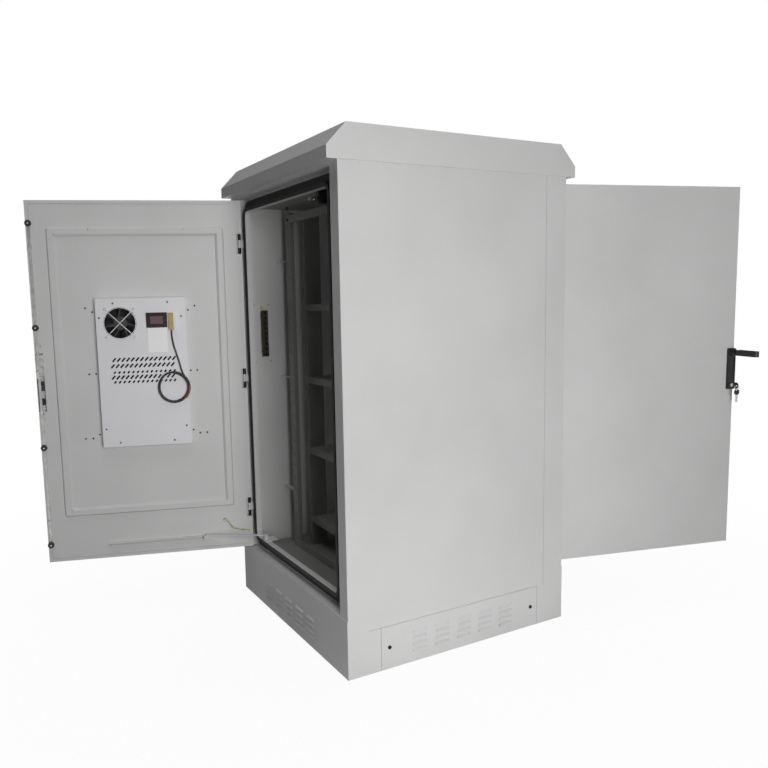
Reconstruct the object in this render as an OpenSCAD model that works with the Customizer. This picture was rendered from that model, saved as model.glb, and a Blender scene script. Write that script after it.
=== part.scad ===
// Roadside utility cabinet: double-walled body on a louvred plinth, hipped roof,
// a front door that carries a cooling unit, a plain rear door and a rack inside.
// Millimetres. X to the right, front towards -Y, Z up, origin at the base centre.

/* [Body] */
// Width over the side panels
body_w = 800; // [760:10:1000]
// Depth over the front and rear frames
body_d = 800; // [760:10:1000]
// Height from the ground to the underside of the roof
body_h = 1420; // [1360:10:1700]
// Thickness of the body sheet
sheet = 2; // [1.5:0.25:2.5]
// Distance from the outer skin to the inner liner face
wall_t = 42; // [34:1:60]
// Side wing of the post on the hinge side
wing_w = 79; // [60:1:110]
// Open seam between neighbouring sheets
seam = 1; // [0.5:0.25:2]

/* [Plinth] */
// Height of the front and rear plinth covers
end_cover_h = 173; // [150:1:200]
// Height of the side plinth covers
side_cover_h = 129; // [110:1:145]
// Distance of the side plinth covers from the ends of the body
side_cover_in = 106; // [90:1:130]
// Length of one louvre
louvre_w = 48; // [30:1:60]
// Spacing of the louvre columns
louvre_pitch = 81; // [70:1:100]
// Spacing of the louvre rows
louvre_row = 19; // [16:1:22]
// Height of the middle of the louvre field
louvre_z = 62; // [55:1:68]
// Outward reach of a louvre hood
louvre_d = 4.5; // [3:0.5:7]
// Corner column of the base
column_w = 60; // [40:1:62]
// Width of the anchor flange
flange_base = 80; // [66:1:110]
// Diameter of the anchor holes
anchor_d = 14; // [10:1:18]
// Anchor hole spacing across the width
anchor_x = 560; // [400:10:600]

/* [Roof] */
// Overhang at the front and rear
roof_over = 33; // [15:1:60]
// Overhang at the sides
roof_side = 4; // [2:1:10]
// Height of the vertical skirt
roof_skirt = 33; // [20:1:60]
// Rise of the sloped part
roof_rise = 62; // [30:1:100]
// Run of the sloped part
roof_run = 59; // [30:1:100]

/* [Door opening] */
// Width of the stile beside the opening
stile_w = 45; // [40:1:70]
// Height of the header above the opening
header_h = 10; // [8:1:30]
// Depth of the rain channel
channel_d = 34; // [30:1:40]
// Distance from the opening edge to the sealing lip
lip_off = 42; // [40:1:50]
// Rounding of the lip corners
lip_r = 20; // [10:1:30]
// Width of the rubber seal
gasket_w = 10; // [6:0.5:10]
// Air gap between the seal and the closed door
gasket_gap = 0.5; // [0.3:0.1:2]

/* [Doors] */
// Opening angle of the front door
front_open = 108; // [90:1:110]
// Opening angle of the rear door
rear_open = 105; // [90:1:110]
// Gap between door and opening
door_gap = 4; // [3.5:0.25:6]
// How far the door face stands out of the frame
door_proud = 4; // [2:0.5:5]
// Depth of the door pan
door_t = 18; // [16:0.5:22]
// Thickness of the door sheet
skin_t = 1.5; // [1:0.25:2]
// Return flange of the door pan
door_flange = 11; // [9:0.5:12]
// Step from the return flange down to the liner
liner_step = 1; // [0.5:0.25:2]
// Width of the pressed stiffener frame
stiff_w = 18; // [12:1:30]
// Height of the pressed stiffener frame
stiff_h = 6; // [3:0.5:10]

/* [Hinges] */
// Distance of the hinge axis from the door edge
hinge_in = 7.5; // [7.25:0.25:9]
// Hinge axis behind the front plane of the frame
hinge_back = 3.5; // [3:0.25:4]
// Diameter of the hinge barrel
barrel_d = 11; // [10:0.5:11.5]
// Diameter of the hinge pin
pin_d = 8; // [5:0.5:8]
// Height of one door knuckle
knuckle_h = 20; // [14:1:30]
// Height of the frame knuckle
web_h = 26; // [18:1:34]
// Height of the lowest hinge
hinge_z0 = 323; // [290:1:400]
// Spacing of the hinges
hinge_pitch = 468; // [400:1:480]
// Radial play of pins in bores
play = 0.05; // [0.02:0.01:0.1]

/* [Lock] */
// Height of the handle spindle
spindle_z = 850; // [800:5:900]
// Distance from the spindle to the lock cylinder
lock_pitch = 113; // [108:1:140]
// Distance of the lock axis from the door edge
lock_in = 13.5; // [13:0.25:14]
// Width of the handle base
handle_w = 28; // [24:1:30]
// Thickness of the handle base
handle_t = 10; // [8:0.5:14]
// Length of the handle lever from its pivot
lever_l = 100; // [70:1:102]
// Width of the handle lever
lever_w = 20; // [16:1:24]
// Thickness of the handle lever
lever_t = 19; // [10:0.5:20]
// Diameter of the lock plug
plug_d = 12; // [8:0.5:14]
// Radius of the cam pins
cam_r = 9; // [7:0.5:9]
// Width of the lock rods
rod_w = 8; // [6:0.5:8.5]
// Thickness of the lock rods and the cam
rod_t = 2.5; // [2:0.25:3]
// Diameter of the rod rollers
roller_d = 21; // [14:0.5:22]
// Thickness of the rod rollers
roller_t = 6; // [4:0.5:8]

/* [Cooling unit] */
// Width of the inner panel
ac_w = 296; // [260:2:340]
// Height of the inner panel
ac_h = 506; // [460:2:560]
// Depth of the inner panel
ac_t = 25; // [18:1:40]
// Height of the bottom edge of the inner panel
ac_z = 574; // [540:2:600]
// Depth of the outer housing
ac_depth = 140; // [110:2:180]
// Margin of the outer housing round the inner panel
ac_margin = 18; // [10:1:30]
// Diameter of the inner fan opening
fan_d = 108; // [90:2:116]
// Diameter of the outer fan opening
cond_d = 190; // [150:2:220]
// Length of one air slot
slot_l = 17; // [10:0.5:18]
// Height of one air slot
slot_h = 5.5; // [3:0.25:6]

/* [Interior] */
// Distance between the front and rear rack faces
rack_d = 510; // [460:5:560]
// Opening between the rack uprights
rack_open = 464; // [450:1:470]
// Face width of a rack upright
upright_w = 36; // [30:1:45]
// Height of the lowest shelf
shelf_z = 280; // [250:5:320]
// Spacing of the shelves
shelf_pitch = 255; // [200:5:270]
// Height of the front lip of a shelf
shelf_lip = 22; // [15:1:40]

/* [Hidden] */
$fn = 48;
eps = 0.01;

half_w = body_w / 2;
half_d = body_d / 2;
side_cover_w = body_d - 2 * side_cover_in;
cover_screw_y = side_cover_w / 2 - 28;
cover_screw_d = 6;
open_x = half_w - stile_w;
sill_z = end_cover_h;
open_z = body_h - header_h;
channel_y = -half_d + channel_d;
floor_z = sill_z;
ceiling_z = body_h - 37;
liner_x = half_w - wall_t;
vent_x = 2.5 * louvre_pitch + 30;
vent_z = [20, 108];
louvre_cols = 5;
louvre_rows = 4;
cable_hole_x = -175;
cable_hole_in = 30;
cable_hole_d = 30;

door_x = open_x - door_gap;
door_z0 = sill_z + door_gap;
door_z1 = open_z - door_gap;
face_y = -half_d - door_proud;
pan_y = face_y + skin_t;
rim_y = face_y + door_t;
liner_y = rim_y - liner_step;
gasket_y = liner_y + gasket_gap;
lip_y = gasket_y + 2.5;
gasket_depth = 8;
hinge_x = -door_x + hinge_in;
hinge_y = -half_d + hinge_back;
hinge_gap = 0.3;
hinge_top = web_h / 2 + hinge_gap + knuckle_h;
leaf_t = 2.5;
leaf_w = 10.5;
hinge_notch = hinge_top + 1.5;
lock_notch = [lock_in + 12.5, 32, 52];

lock_x = door_x - lock_in;
plug_z = spindle_z - lock_pitch;
base_y = face_y - handle_t;
hub_t = 8;
hub_gap = 0.3;
pivot_y = base_y - hub_gap - hub_t - 5;
pin_r = 2;
pin_slack = 0.6;
cam_rest = -45;
rod_x = door_x - 10;
rod_y = rim_y + 0.6;
cam_y = rod_y - 0.5 - rod_t;
roller_y = rod_y + rod_t + 0.3;
roller_up = [spindle_z + 138, door_z1 - 75];
roller_down = [door_z0 + 63, spindle_z - 269];
guide_up = [spindle_z + 179, door_z1 - 151];
guide_down = [door_z0 + 142, spindle_z - 307];
guide_h = 12;
spindle_d = 10;

ac_x = -3;
ac_y = liner_y + ac_t;
ac_sheet = 1.5;
fan_c = [ac_x + 70, ac_z + 423];
fan_frame = 119;
fan_depth = 38;
fan_hub_d = 44;
fan_shaft_d = 6;
guard_foot_r = 66.5;
cond_c = [ac_x, ac_z + 351];
cond_y = face_y - ac_depth;
cond_depth = 24;
cond_shaft_d = 8;
cond_motor_d = 60;
cond_motor_y = [40, 63];
slot_pitch = 15.2;
slot_slant = -48;
// Height of each row of air slots over the panel's lower edge, and the share of the slot length in it
slot_rows = [[223, 0.62], [239, 1], [256, 0.55], [278, 1], [299, 1]];
display_x = [ac_x - 82, ac_x - 18];
display_z = [ac_z + 408, ac_z + 453];

rail_z = 225;
rail_h = 12;
rail_d = 8;
rail_wall = 1.5;
rail_slot = 5;
rail_x = [hinge_x + 151.5, hinge_x + 493.5];
stay_pivot_in = 88.5;
stay_pivot_back = 24.5;
stay_pivot = [hinge_x + stay_pivot_in, hinge_y + stay_pivot_back];
stay_foot = 48;
slider_s = 155;
slider_l = 26;
arm_t = 3;
arm_w = 14;
stud_y = liner_y + rail_d + 4;
slider_top = rail_z + rail_h / 2 + 1;
arm_z = slider_top + 0.3;
arm_pin_r = 4;

rack_face = -rack_d / 2;
uprights_top = ceiling_z - 20;
shelf_count = 4;
post_d = 60;
post_w = 20;
shelf_y = rack_face + 55;
hole_pitch = 44.45;
clip_heights = [for (share = [0.17, 0.515, 0.86]) floor_z + share * (uprights_top - floor_z)];
clip_foot = 30;
clip_w = 15;
clip_t = 3;

bar_y = channel_y + 53;
bar_z = [floor_z + 690, floor_z + 854];
bar_bolts = 9;
bar_bolt_d = 6;
bar_w = 24;
bar_t = 5;
bar_off = 14;

switch_x = open_x - 158;
switch_z = open_z - lip_off - 22;
switch_w = 20;
switch_pivot_y = channel_y + 14;

cable_d = 6;
cable_y = ac_y + cable_d / 2 + 0.3;
terminal_c = [ac_x - 98, ac_z + 425];
coil_c = [ac_x - 97, ac_z + 198];
coil_r = 55.3;
coil_tube = 7;
// Route of the fan lead from the terminal's middle to its coil, as x and z
lead_path = [[0, -29.3], [0, -49], [-4, -79], [-12, -109], [-20, -139], [-27, -169], [-37, -191]];
cable_route = [for (p = lead_path) terminal_c + p];

paint = "gainsboro";
shade = "lightgray";
steel = "silver";
black = "#202020";

// Placement

// Half turn that makes the rear end from the front end
module at_rear() { rotate(180) children(); }

// A piece modelled on the closed front door, swung to its open place
module on_front_door() {
  translate([hinge_x, hinge_y, 0]) rotate(-front_open) translate([-hinge_x, -hinge_y, 0]) children();
}

module on_rear_door() {
  at_rear() translate([hinge_x, hinge_y, 0]) rotate(-rear_open) translate([-hinge_x, -hinge_y, 0])
    children();
}

// Flat outline in X and Z, as a slab from y0 to y1
module slab(y0, y1) {
  translate([0, y1, 0]) rotate([90, 0, 0]) linear_extrude(y1 - y0) children();
}

// Flat outline in Y and Z, as a slab from x0 to x1
module side_slab(x0, x1) {
  translate([x0, 0, 0]) rotate([90, 0, 90]) linear_extrude(x1 - x0) children();
}

// Flat outlines

module box2(x0, x1, z0, z1) { translate([x0, z0]) square([x1 - x0, z1 - z0]); }

module round2(x0, x1, z0, z1, r) {
  box2(x0 + r, x1 - r, z0, z1);
  box2(x0, x1, z0 + r, z1 - r);
  for (x = [x0 + r, x1 - r], z = [z0 + r, z1 - r]) translate([x, z]) circle(r);
}

// Opening of the door frame drawn in by a margin
module opening2(m) { box2(-open_x + m, open_x - m, sill_z + m, open_z - m); }

module round_opening2(m, r) { round2(-open_x + m, open_x - m, sill_z + m, open_z - m, r); }

module ring2(m0, m1) {
  difference() {
    opening2(m0);
    opening2(m1);
  }
}

module round_ring2(m0, m1) {
  difference() {
    round_opening2(m0, lip_r - m0 + lip_off);
    round_opening2(m1, lip_r - m1 + lip_off);
  }
}

// Door outline drawn in by a margin
module door2(m) { box2(-door_x + m, door_x - m, door_z0 + m, door_z1 - m); }

module door_ring2(m0, m1) {
  difference() {
    door2(m0);
    door2(m1);
  }
}

// Bar along Y through a point in X and Z
module rod_y(x, z, y0, y1, d) {
  translate([x, y1, z]) rotate([90, 0, 0]) cylinder(d = d, h = y1 - y0);
}

module block(x, y, z) { translate([x[0], y[0], z[0]]) cube([x[1] - x[0], y[1] - y[0], z[1] - z[0]]); }

// Louvre field

// Middle of each louvre, as x and z
function louvre_spots() = [for (i = [0 : louvre_cols - 1], j = [0 : louvre_rows - 1])
  [(i - (louvre_cols - 1) / 2) * louvre_pitch, louvre_z + (j - (louvre_rows - 1) / 2) * louvre_row]];

module louvre_slots2() {
  for (p = louvre_spots()) translate(p) square([louvre_w, louvre_row / 3], center = true);
}

// One pressed hood over a slot, drawn with its back on the plane y = 0
module louvre_hood() {
  rise = louvre_row / 3;
  lip = 1.2;
  translate([-louvre_w / 2, 0, 0]) rotate([90, 0, 90]) linear_extrude(louvre_w)
    polygon([[0, rise], [-louvre_d, 0], [-louvre_d, -lip], [-louvre_d + lip, -lip], [0, rise - 2 * lip]]);
}

module louvre_hoods() {
  for (p = louvre_spots()) translate([p[0], 0, p[1]]) louvre_hood();
}

// Base and plinth

module base_frame() {
  color(shade) {
    inner = half_w - sheet;
    deep = half_d - sheet;
    plate_t = 4;
    column_t = 3;
    tab_w = 28;
    strip_h = 16;
    strip_in = 5;
    difference() {
      translate([-inner, -deep, 0]) cube([2 * inner, 2 * deep, plate_t]);
      translate([-inner + flange_base, -deep + flange_base, -1])
        cube([2 * (inner - flange_base), 2 * (deep - flange_base), plate_t + 2]);
      for (x = [-anchor_x / 2, anchor_x / 2], y = [-1, 1])
        translate([x, y * (deep - flange_base / 2), -1]) cylinder(d = anchor_d, h = plate_t + 2);
    }
    for (x = [-inner, inner - column_w], y = [-deep, deep - column_w]) difference() {
      translate([x, y, plate_t]) cube([column_w, column_w, floor_z - sheet - plate_t]);
      translate([x + column_t, y + column_t, plate_t + column_t])
        cube([column_w - 2 * column_t, column_w - 2 * column_t, floor_z]);
    }
    for (s = [-1, 1]) {
      strip_x = s > 0 ? [inner - plate_t, inner] : [-inner, -inner + plate_t];
      for (y = [-cover_screw_y, cover_screw_y]) difference() {
        block(strip_x, [y - tab_w / 2, y + tab_w / 2], [plate_t, side_cover_h - strip_in]);
        translate([s * (inner - plate_t - 1), y, side_cover_h / 2]) rotate([0, s * 90, 0])
          cylinder(d = cover_screw_d, h = plate_t + 2);
      }
      block(strip_x, [-deep + column_w, deep - column_w],
        [side_cover_h - strip_in - strip_h, side_cover_h - strip_in]);
    }
  }
}

module end_cover() {
  slab(-half_d - sheet, -half_d) difference() {
    box2(-half_w, half_w, 0, end_cover_h - seam);
    louvre_slots2();
  }
  translate([0, -half_d - sheet, 0]) louvre_hoods();
}

module end_plinth_covers() {
  color(paint) {
    end_cover();
    at_rear() end_cover();
  }
}

module side_cover() {
  rotate(90) {
    slab(-half_w, -half_w + sheet) difference() {
      box2(-side_cover_w / 2 + seam, side_cover_w / 2 - seam, 0, side_cover_h - seam);
      louvre_slots2();
      for (x = [-cover_screw_y, cover_screw_y]) translate([x, side_cover_h / 2]) circle(d = cover_screw_d);
    }
    translate([0, -half_w, 0]) louvre_hoods();
  }
}

module side_plinth_covers() {
  color(paint) {
    side_cover();
    at_rear() side_cover();
  }
}

module plinth_screws() {
  color(black) for (s = [0, 180], y = [-1, 1]) rotate(s)
    translate([half_w, y * cover_screw_y, side_cover_h / 2]) rotate([0, 90, 0]) {
      cylinder(d = 11, h = 2.5);
      translate([0, 0, -cover_screw_d]) cylinder(d = cover_screw_d - 2 * play, h = cover_screw_d + eps);
    }
}

// Body shell

// Welded frame of one end: face, rain channel, sealing lip and the hinge-side wing
module end_frame() {
  slab(-half_d, -half_d + sheet) difference() {
    box2(-half_w, half_w, 0, body_h);
    opening2(0);
    box2(-vent_x, vent_x, vent_z[0], vent_z[1]);
  }
  slab(-half_d, channel_y) ring2(-sheet, 0);
  slab(channel_y, channel_y + sheet) difference() {
    opening2(-sheet);
    round_opening2(lip_off + sheet, lip_r - sheet);
  }
  slab(lip_y, channel_y) round_ring2(lip_off, lip_off + sheet);
  side_slab(-half_w, -half_w + sheet) {
    box2(-half_d + sheet, -half_d + wing_w, side_cover_h, body_h);
    box2(-half_d + sheet, -side_cover_w / 2, 0, side_cover_h);
  }
}

module front_frame() { color(paint) end_frame(); }

module rear_frame() { color(paint) at_rear() end_frame(); }

// Outer skin of one side, notched for the plinth cover, with a folded rear edge
module side_panel() {
  fold = 18;
  slit = 40;
  side_slab(half_w - sheet, half_w) difference() {
    union() {
      box2(-half_d + sheet, half_d - wing_w - seam, side_cover_h, body_h);
      box2(-half_d + sheet, -side_cover_w / 2, 0, side_cover_h + eps);
    }
    box2(-side_cover_w / 2 - slit, -side_cover_w / 2 + eps, side_cover_h - seam, side_cover_h + eps);
  }
  block([half_w - fold, half_w - sheet + eps], [half_d - wing_w - seam - sheet, half_d - wing_w - seam],
    [floor_z, ceiling_z]);
}

module right_side_panel() { color(paint) side_panel(); }

module left_side_panel() { color(paint) at_rear() side_panel(); }

module side_liners() {
  color("whitesmoke") for (x = [-liner_x - sheet, liner_x])
    block([x, x + sheet], [channel_y + sheet, -channel_y - sheet], [floor_z, ceiling_z]);
}

module floor_pan() {
  color(shade) difference() {
    block([-half_w + sheet, half_w - sheet], [channel_y + sheet, -channel_y - sheet],
      [floor_z - sheet, floor_z]);
    for (a = [0, 180]) rotate(a) translate([cable_hole_x, channel_y + cable_hole_in, floor_z - sheet - 1])
      cylinder(d = cable_hole_d, h = sheet + 2);
  }
}

module ceiling_pan() {
  color("whitesmoke") block([-half_w + sheet, half_w - sheet], [channel_y + sheet, -channel_y - sheet],
    [ceiling_z, ceiling_z + sheet]);
}

// Roof section in Y and Z, drawn in by the sheet thickness for the hollow
module roof2(m) {
  y0 = half_d + roof_over - m;
  y1 = half_d + roof_over - roof_run - 0.4 * m;
  z0 = body_h + m;
  z1 = body_h + roof_skirt - 0.4 * m;
  z2 = body_h + roof_skirt + roof_rise - m;
  polygon([[-y0, z0], [-y0, z1], [-y1, z2], [y1, z2], [y0, z1], [y0, z0]]);
}

module roof_cap() {
  color(paint) difference() {
    side_slab(-half_w - roof_side, half_w + roof_side) roof2(0);
    side_slab(-half_w - roof_side + sheet, half_w + roof_side - sheet) roof2(sheet);
  }
}

module gasket() {
  slab(gasket_y, lip_y) round_ring2(lip_off - gasket_w, lip_off + sheet);
  slab(lip_y, lip_y + gasket_depth) round_ring2(lip_off - gasket_w, lip_off);
}

module door_gaskets() {
  color(black) {
    gasket();
    at_rear() gasket();
  }
}

// Interior

// Angle upright of the rack with a column of square holes in its face
module upright(side) {
  x0 = rack_open / 2;
  depth = 32;
  holes = floor((uprights_top - floor_z - 60) / hole_pitch);
  mirror([side < 0 ? 1 : 0, 0, 0]) {
    difference() {
      block([x0, x0 + upright_w], [rack_face, rack_face + sheet], [floor_z, uprights_top]);
      for (i = [0 : holes]) block([x0 + 8, x0 + 17], [rack_face - 1, rack_face + sheet + 1],
        [floor_z + 30 + i * hole_pitch, floor_z + 39 + i * hole_pitch]);
    }
    block([x0 + upright_w - sheet, x0 + upright_w], [rack_face, rack_face + depth], [floor_z, uprights_top]);
    block([x0, x0 + upright_w], [rack_face, rack_face + depth], [floor_z, floor_z + 3]);
  }
}

// Channel post that carries the shelf ends
module shelf_post(side) {
  x0 = rack_open / 2;
  mirror([side < 0 ? 1 : 0, 0, 0]) {
    block([x0, x0 + sheet], [shelf_y, shelf_y + post_d], [floor_z, uprights_top]);
    for (y = [shelf_y, shelf_y + post_d - sheet])
      block([x0, x0 + post_w], [y, y + sheet], [floor_z, uprights_top]);
  }
}

module rack_uprights() {
  color(paint) for (a = [0, 180], side = [-1, 1]) rotate(a) {
    upright(side);
    shelf_post(side);
  }
}

// Cross bars behind the upright faces, top and bottom, front and rear
module rack_crossbars() {
  bar_h = 26;
  reach = rack_open / 2 + upright_w - sheet;
  color(paint) for (a = [0, 180], z = [floor_z + 3, uprights_top - bar_h - 12]) rotate(a)
    block([-reach, reach], [rack_face + sheet, rack_face + sheet + 3], [z, z + bar_h]);
}

// Clips that tie the uprights to the side liners
module wall_brackets() {
  x0 = rack_open / 2 + upright_w;
  y0 = rack_face + 2 * sheet;
  color(paint) for (a = [0, 180], side = [0, 1], z = clip_heights) rotate(a) mirror([side, 0, 0]) {
    block([x0, liner_x], [y0, y0 + clip_w], [z, z + clip_t]);
    block([x0, x0 + clip_t], [y0, y0 + clip_w], [z, z + clip_foot]);
    block([liner_x - clip_t, liner_x], [y0, y0 + clip_w], [z + clip_t - clip_foot, z + clip_t]);
  }
}

// Shelf tray: plate with turned-down lips, hung between the shelf posts
module shelf(z) {
  x0 = rack_open / 2;
  y0 = shelf_y;
  block([-x0, x0], [y0, -y0], [z - sheet, z]);
  for (s = [0, 180]) rotate(s) {
    block([-x0, x0], [y0, y0 + sheet], [z - shelf_lip, z]);
    block([-x0, -x0 + sheet], [y0, -y0], [z - shelf_lip, z]);
  }
}

module shelves() {
  color(paint) for (i = [0 : shelf_count - 1]) shelf(shelf_z + i * shelf_pitch);
}

module earth_bar() {
  x0 = -liner_x + bar_off;
  step = (bar_z[1] - bar_z[0]) / bar_bolts;
  color("peru") difference() {
    block([x0, x0 + bar_t], [bar_y - bar_w / 2, bar_y + bar_w / 2], bar_z);
    for (i = [0 : bar_bolts - 1]) translate([x0 - 1, bar_y, bar_z[0] + (i + 0.5) * step]) rotate([0, 90, 0])
      cylinder(d = bar_bolt_d, h = bar_t + 2);
  }
}

// Insulating posts behind the bar and the row of terminal bolts in it
module earth_bar_mounts() {
  x0 = -liner_x + bar_off;
  step = (bar_z[1] - bar_z[0]) / bar_bolts;
  color(black) {
    for (z = [bar_z[0] + step, bar_z[1] - step]) translate([-liner_x, bar_y, z]) rotate([0, 90, 0])
      cylinder(d = 16, h = bar_off);
    for (i = [0 : bar_bolts - 1]) translate([x0 + 1, bar_y, bar_z[0] + (i + 0.5) * step]) rotate([0, 90, 0]) {
      cylinder(d = bar_bolt_d - 2 * play, h = bar_t);
      translate([0, 0, bar_t - 1]) cylinder(d = 11, h = 4.5, $fn = 6);
    }
  }
}

// Door switch under the ceiling with a roller lever that the closing door presses
module switch_body() {
  color(black) difference() {
    union() {
      block([switch_x - switch_w / 2, switch_x + switch_w / 2], [switch_pivot_y - 8, switch_pivot_y + 42],
        [switch_z - 12, ceiling_z]);
      rod_lug = 5;
      for (s = [-1, 1]) translate([switch_x + s * (switch_w / 2 - 2), switch_pivot_y - 14, switch_z])
        rotate([0, 90, 0]) cylinder(r = rod_lug, h = 4, center = true);
      for (s = [-1, 1]) block([switch_x + s * (switch_w / 2 - 2) - 2, switch_x + s * (switch_w / 2 - 2) + 2],
        [switch_pivot_y - 14, switch_pivot_y - 7], [switch_z - rod_lug, switch_z + rod_lug]);
    }
    translate([switch_x, switch_pivot_y - 14, switch_z]) rotate([0, 90, 0])
      cylinder(r = 2 + play, h = switch_w + 2, center = true);
  }
}

module switch_lever() {
  reach = gasket_y;
  py = switch_pivot_y - 14;
  color(steel) {
    translate([switch_x, py, switch_z]) rotate([0, 90, 0]) cylinder(r = 2, h = switch_w, center = true);
    translate([switch_x, py, switch_z]) rotate([0, 90, 0]) cylinder(r = 4, h = 8, center = true);
    block([switch_x - 3, switch_x + 3], [reach + 5, py], [switch_z - 1.5, switch_z + 1.5]);
    translate([switch_x, reach + 5, switch_z]) rotate([0, 90, 0]) cylinder(r = 5, h = 6, center = true);
  }
}

// Foot of the door stay on the sealing lip, with its pivot pin
module stay_bracket() {
  p = stay_pivot;
  z0 = sill_z + lip_off + sheet;
  color(paint) {
    block([p[0] - stay_foot / 2, p[0] + stay_foot / 2], [lip_y + 1, channel_y + 30], [z0, z0 + sheet]);
    translate([p[0], p[1], z0 + 1]) cylinder(r = 8, h = arm_z - 0.3 - z0 - 1);
    translate([p[0], p[1], arm_z - 1]) cylinder(r = arm_pin_r, h = arm_t + 2.3);
    translate([p[0], p[1], arm_z + arm_t + 0.3]) cylinder(r = 7, h = 2);
  }
}

// Hinges

function hinge_heights() = [for (i = [0 : 2]) hinge_z0 + i * hinge_pitch];

// Frame half of one hinge: foot in the channel, web, barrel and the fixed pin
module frame_hinge(z) {
  web_t = 4;
  translate([hinge_x, hinge_y, z]) {
    cylinder(d = barrel_d, h = web_h, center = true);
    cylinder(d = pin_d, h = 2 * hinge_top, center = true);
    block([-web_t / 2, web_t / 2], [0, channel_y - hinge_y], [-web_h / 2, web_h / 2]);
    block([-8, 12], [channel_y - hinge_y - 3, channel_y - hinge_y], [-web_h / 2, web_h / 2]);
  }
}

module frame_hinges() {
  color(steel) for (z = hinge_heights()) {
    frame_hinge(z);
    at_rear() frame_hinge(z);
  }
}

// Door half of one hinge: two knuckles on a leaf inside the door pan
module door_hinge(z) {
  leaf_x = hinge_x + barrel_d / 2 + 0.6;
  difference() {
    union() {
      for (s = [-1, 1]) {
        low = s > 0 ? web_h / 2 + hinge_gap : -hinge_top;
        translate([hinge_x, hinge_y, z + low]) cylinder(d = barrel_d, h = knuckle_h);
        block([hinge_x, hinge_x + leaf_w], [pan_y, pan_y + leaf_t], [z + low, z + low + knuckle_h]);
        block([hinge_x, leaf_x + 2], [pan_y, hinge_y], [z + low, z + low + knuckle_h]);
      }
      block([leaf_x, hinge_x + leaf_w], [pan_y, pan_y + leaf_t], [z - hinge_top, z + hinge_top]);
    }
    translate([hinge_x, hinge_y, z - hinge_top - 1]) cylinder(d = pin_d + 2 * play, h = 2 * hinge_top + 2);
  }
}

module door_hinges() { for (z = hinge_heights()) door_hinge(z); }

module front_hinge_leaves() { color(black) on_front_door() door_hinges(); }

module rear_hinge_leaves() { color(black) on_rear_door() door_hinges(); }

// Doors

// Folded door pan with notches for hinges and lock
module door_pan() {
  difference() {
    union() {
      slab(face_y, pan_y) door2(0);
      slab(face_y, rim_y) door_ring2(0, skin_t);
      slab(rim_y - skin_t, rim_y) door_ring2(0, door_flange);
    }
    for (z = hinge_heights()) {
      block([-door_x - 1, -door_x + door_flange + 1], [rim_y - skin_t - eps, rim_y + 1],
        [z - hinge_notch, z + hinge_notch]);
      block([-door_x - 1, -door_x + skin_t + eps], [pan_y, rim_y + 1],
        [z - web_h / 2 - 2, z + web_h / 2 + 2]);
    }
    block([door_x - door_flange - 1, door_x - skin_t], [rim_y - skin_t - eps, rim_y + 1],
      [plug_z - lock_notch[1], spindle_z + lock_notch[2]]);
    rod_y(lock_x, spindle_z, face_y - 1, pan_y + 1, spindle_d + 0.6);
    rod_y(lock_x, plug_z, face_y - 1, pan_y + 1, plug_d + 0.6);
  }
}

// Window in the door that the cooling unit passes through
module ac_window2(m) {
  round2(ac_x - ac_w / 2 + m, ac_x + ac_w / 2 - m, ac_z + m, ac_z + ac_h - m, 4);
}

module front_door_skin() {
  color(paint) on_front_door() difference() {
    door_pan();
    slab(face_y - 1, pan_y + 1) ac_window2(12);
  }
}

module rear_door_skin() { color(paint) on_rear_door() door_pan(); }

// Inner tray of the door inside the return flange, with a pressed stiffener frame round its middle
module liner_tray() {
  edge = door_flange + 0.5;
  ridge = [66, 161, 93];
  difference() {
    union() {
      slab(liner_y - skin_t, liner_y) door2(edge);
      slab(pan_y, liner_y) door_ring2(edge, edge + skin_t);
    }
    for (z = hinge_heights()) block([-door_x, hinge_x + leaf_w + 2], [pan_y - 1, liner_y + 1],
      [z - hinge_notch, z + hinge_notch]);
    block([door_x - lock_notch[0], door_x], [pan_y - 1, liner_y + 1],
      [plug_z - lock_notch[1], spindle_z + lock_notch[2]]);
  }
  slab(liner_y - eps, liner_y + stiff_h) difference() {
    round2(-door_x + ridge[0], door_x - ridge[0], door_z0 + ridge[1], door_z1 - ridge[2], 6);
    round2(-door_x + ridge[0] + stiff_w, door_x - ridge[0] - stiff_w, door_z0 + ridge[1] + stiff_w,
      door_z1 - ridge[2] - stiff_w, 4);
  }
}

module front_door_liner() {
  color(paint) on_front_door() difference() {
    liner_tray();
    slab(pan_y - 1, liner_y + 1) ac_window2(12);
  }
}

module rear_door_liner() { color(paint) on_rear_door() liner_tray(); }

// Lock: handle

// Escutcheon on the door face with bores for spindle and plug
module handle_base() {
  r = handle_w / 2;
  difference() {
    slab(base_y, face_y) round2(lock_x - r, lock_x + r, plug_z - r, spindle_z + r, 4);
    rod_y(lock_x, spindle_z, base_y - 1, face_y + 1, spindle_d + 2 * play);
    rod_y(lock_x, plug_z, base_y - 1, face_y + 1, plug_d + 2 * play);
    slab(base_y - 1, base_y + 2) box2(lock_x - lever_w / 2 - 1, lock_x + lever_w / 2 + 1, plug_z + 20,
      spindle_z - 18);
  }
}

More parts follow.
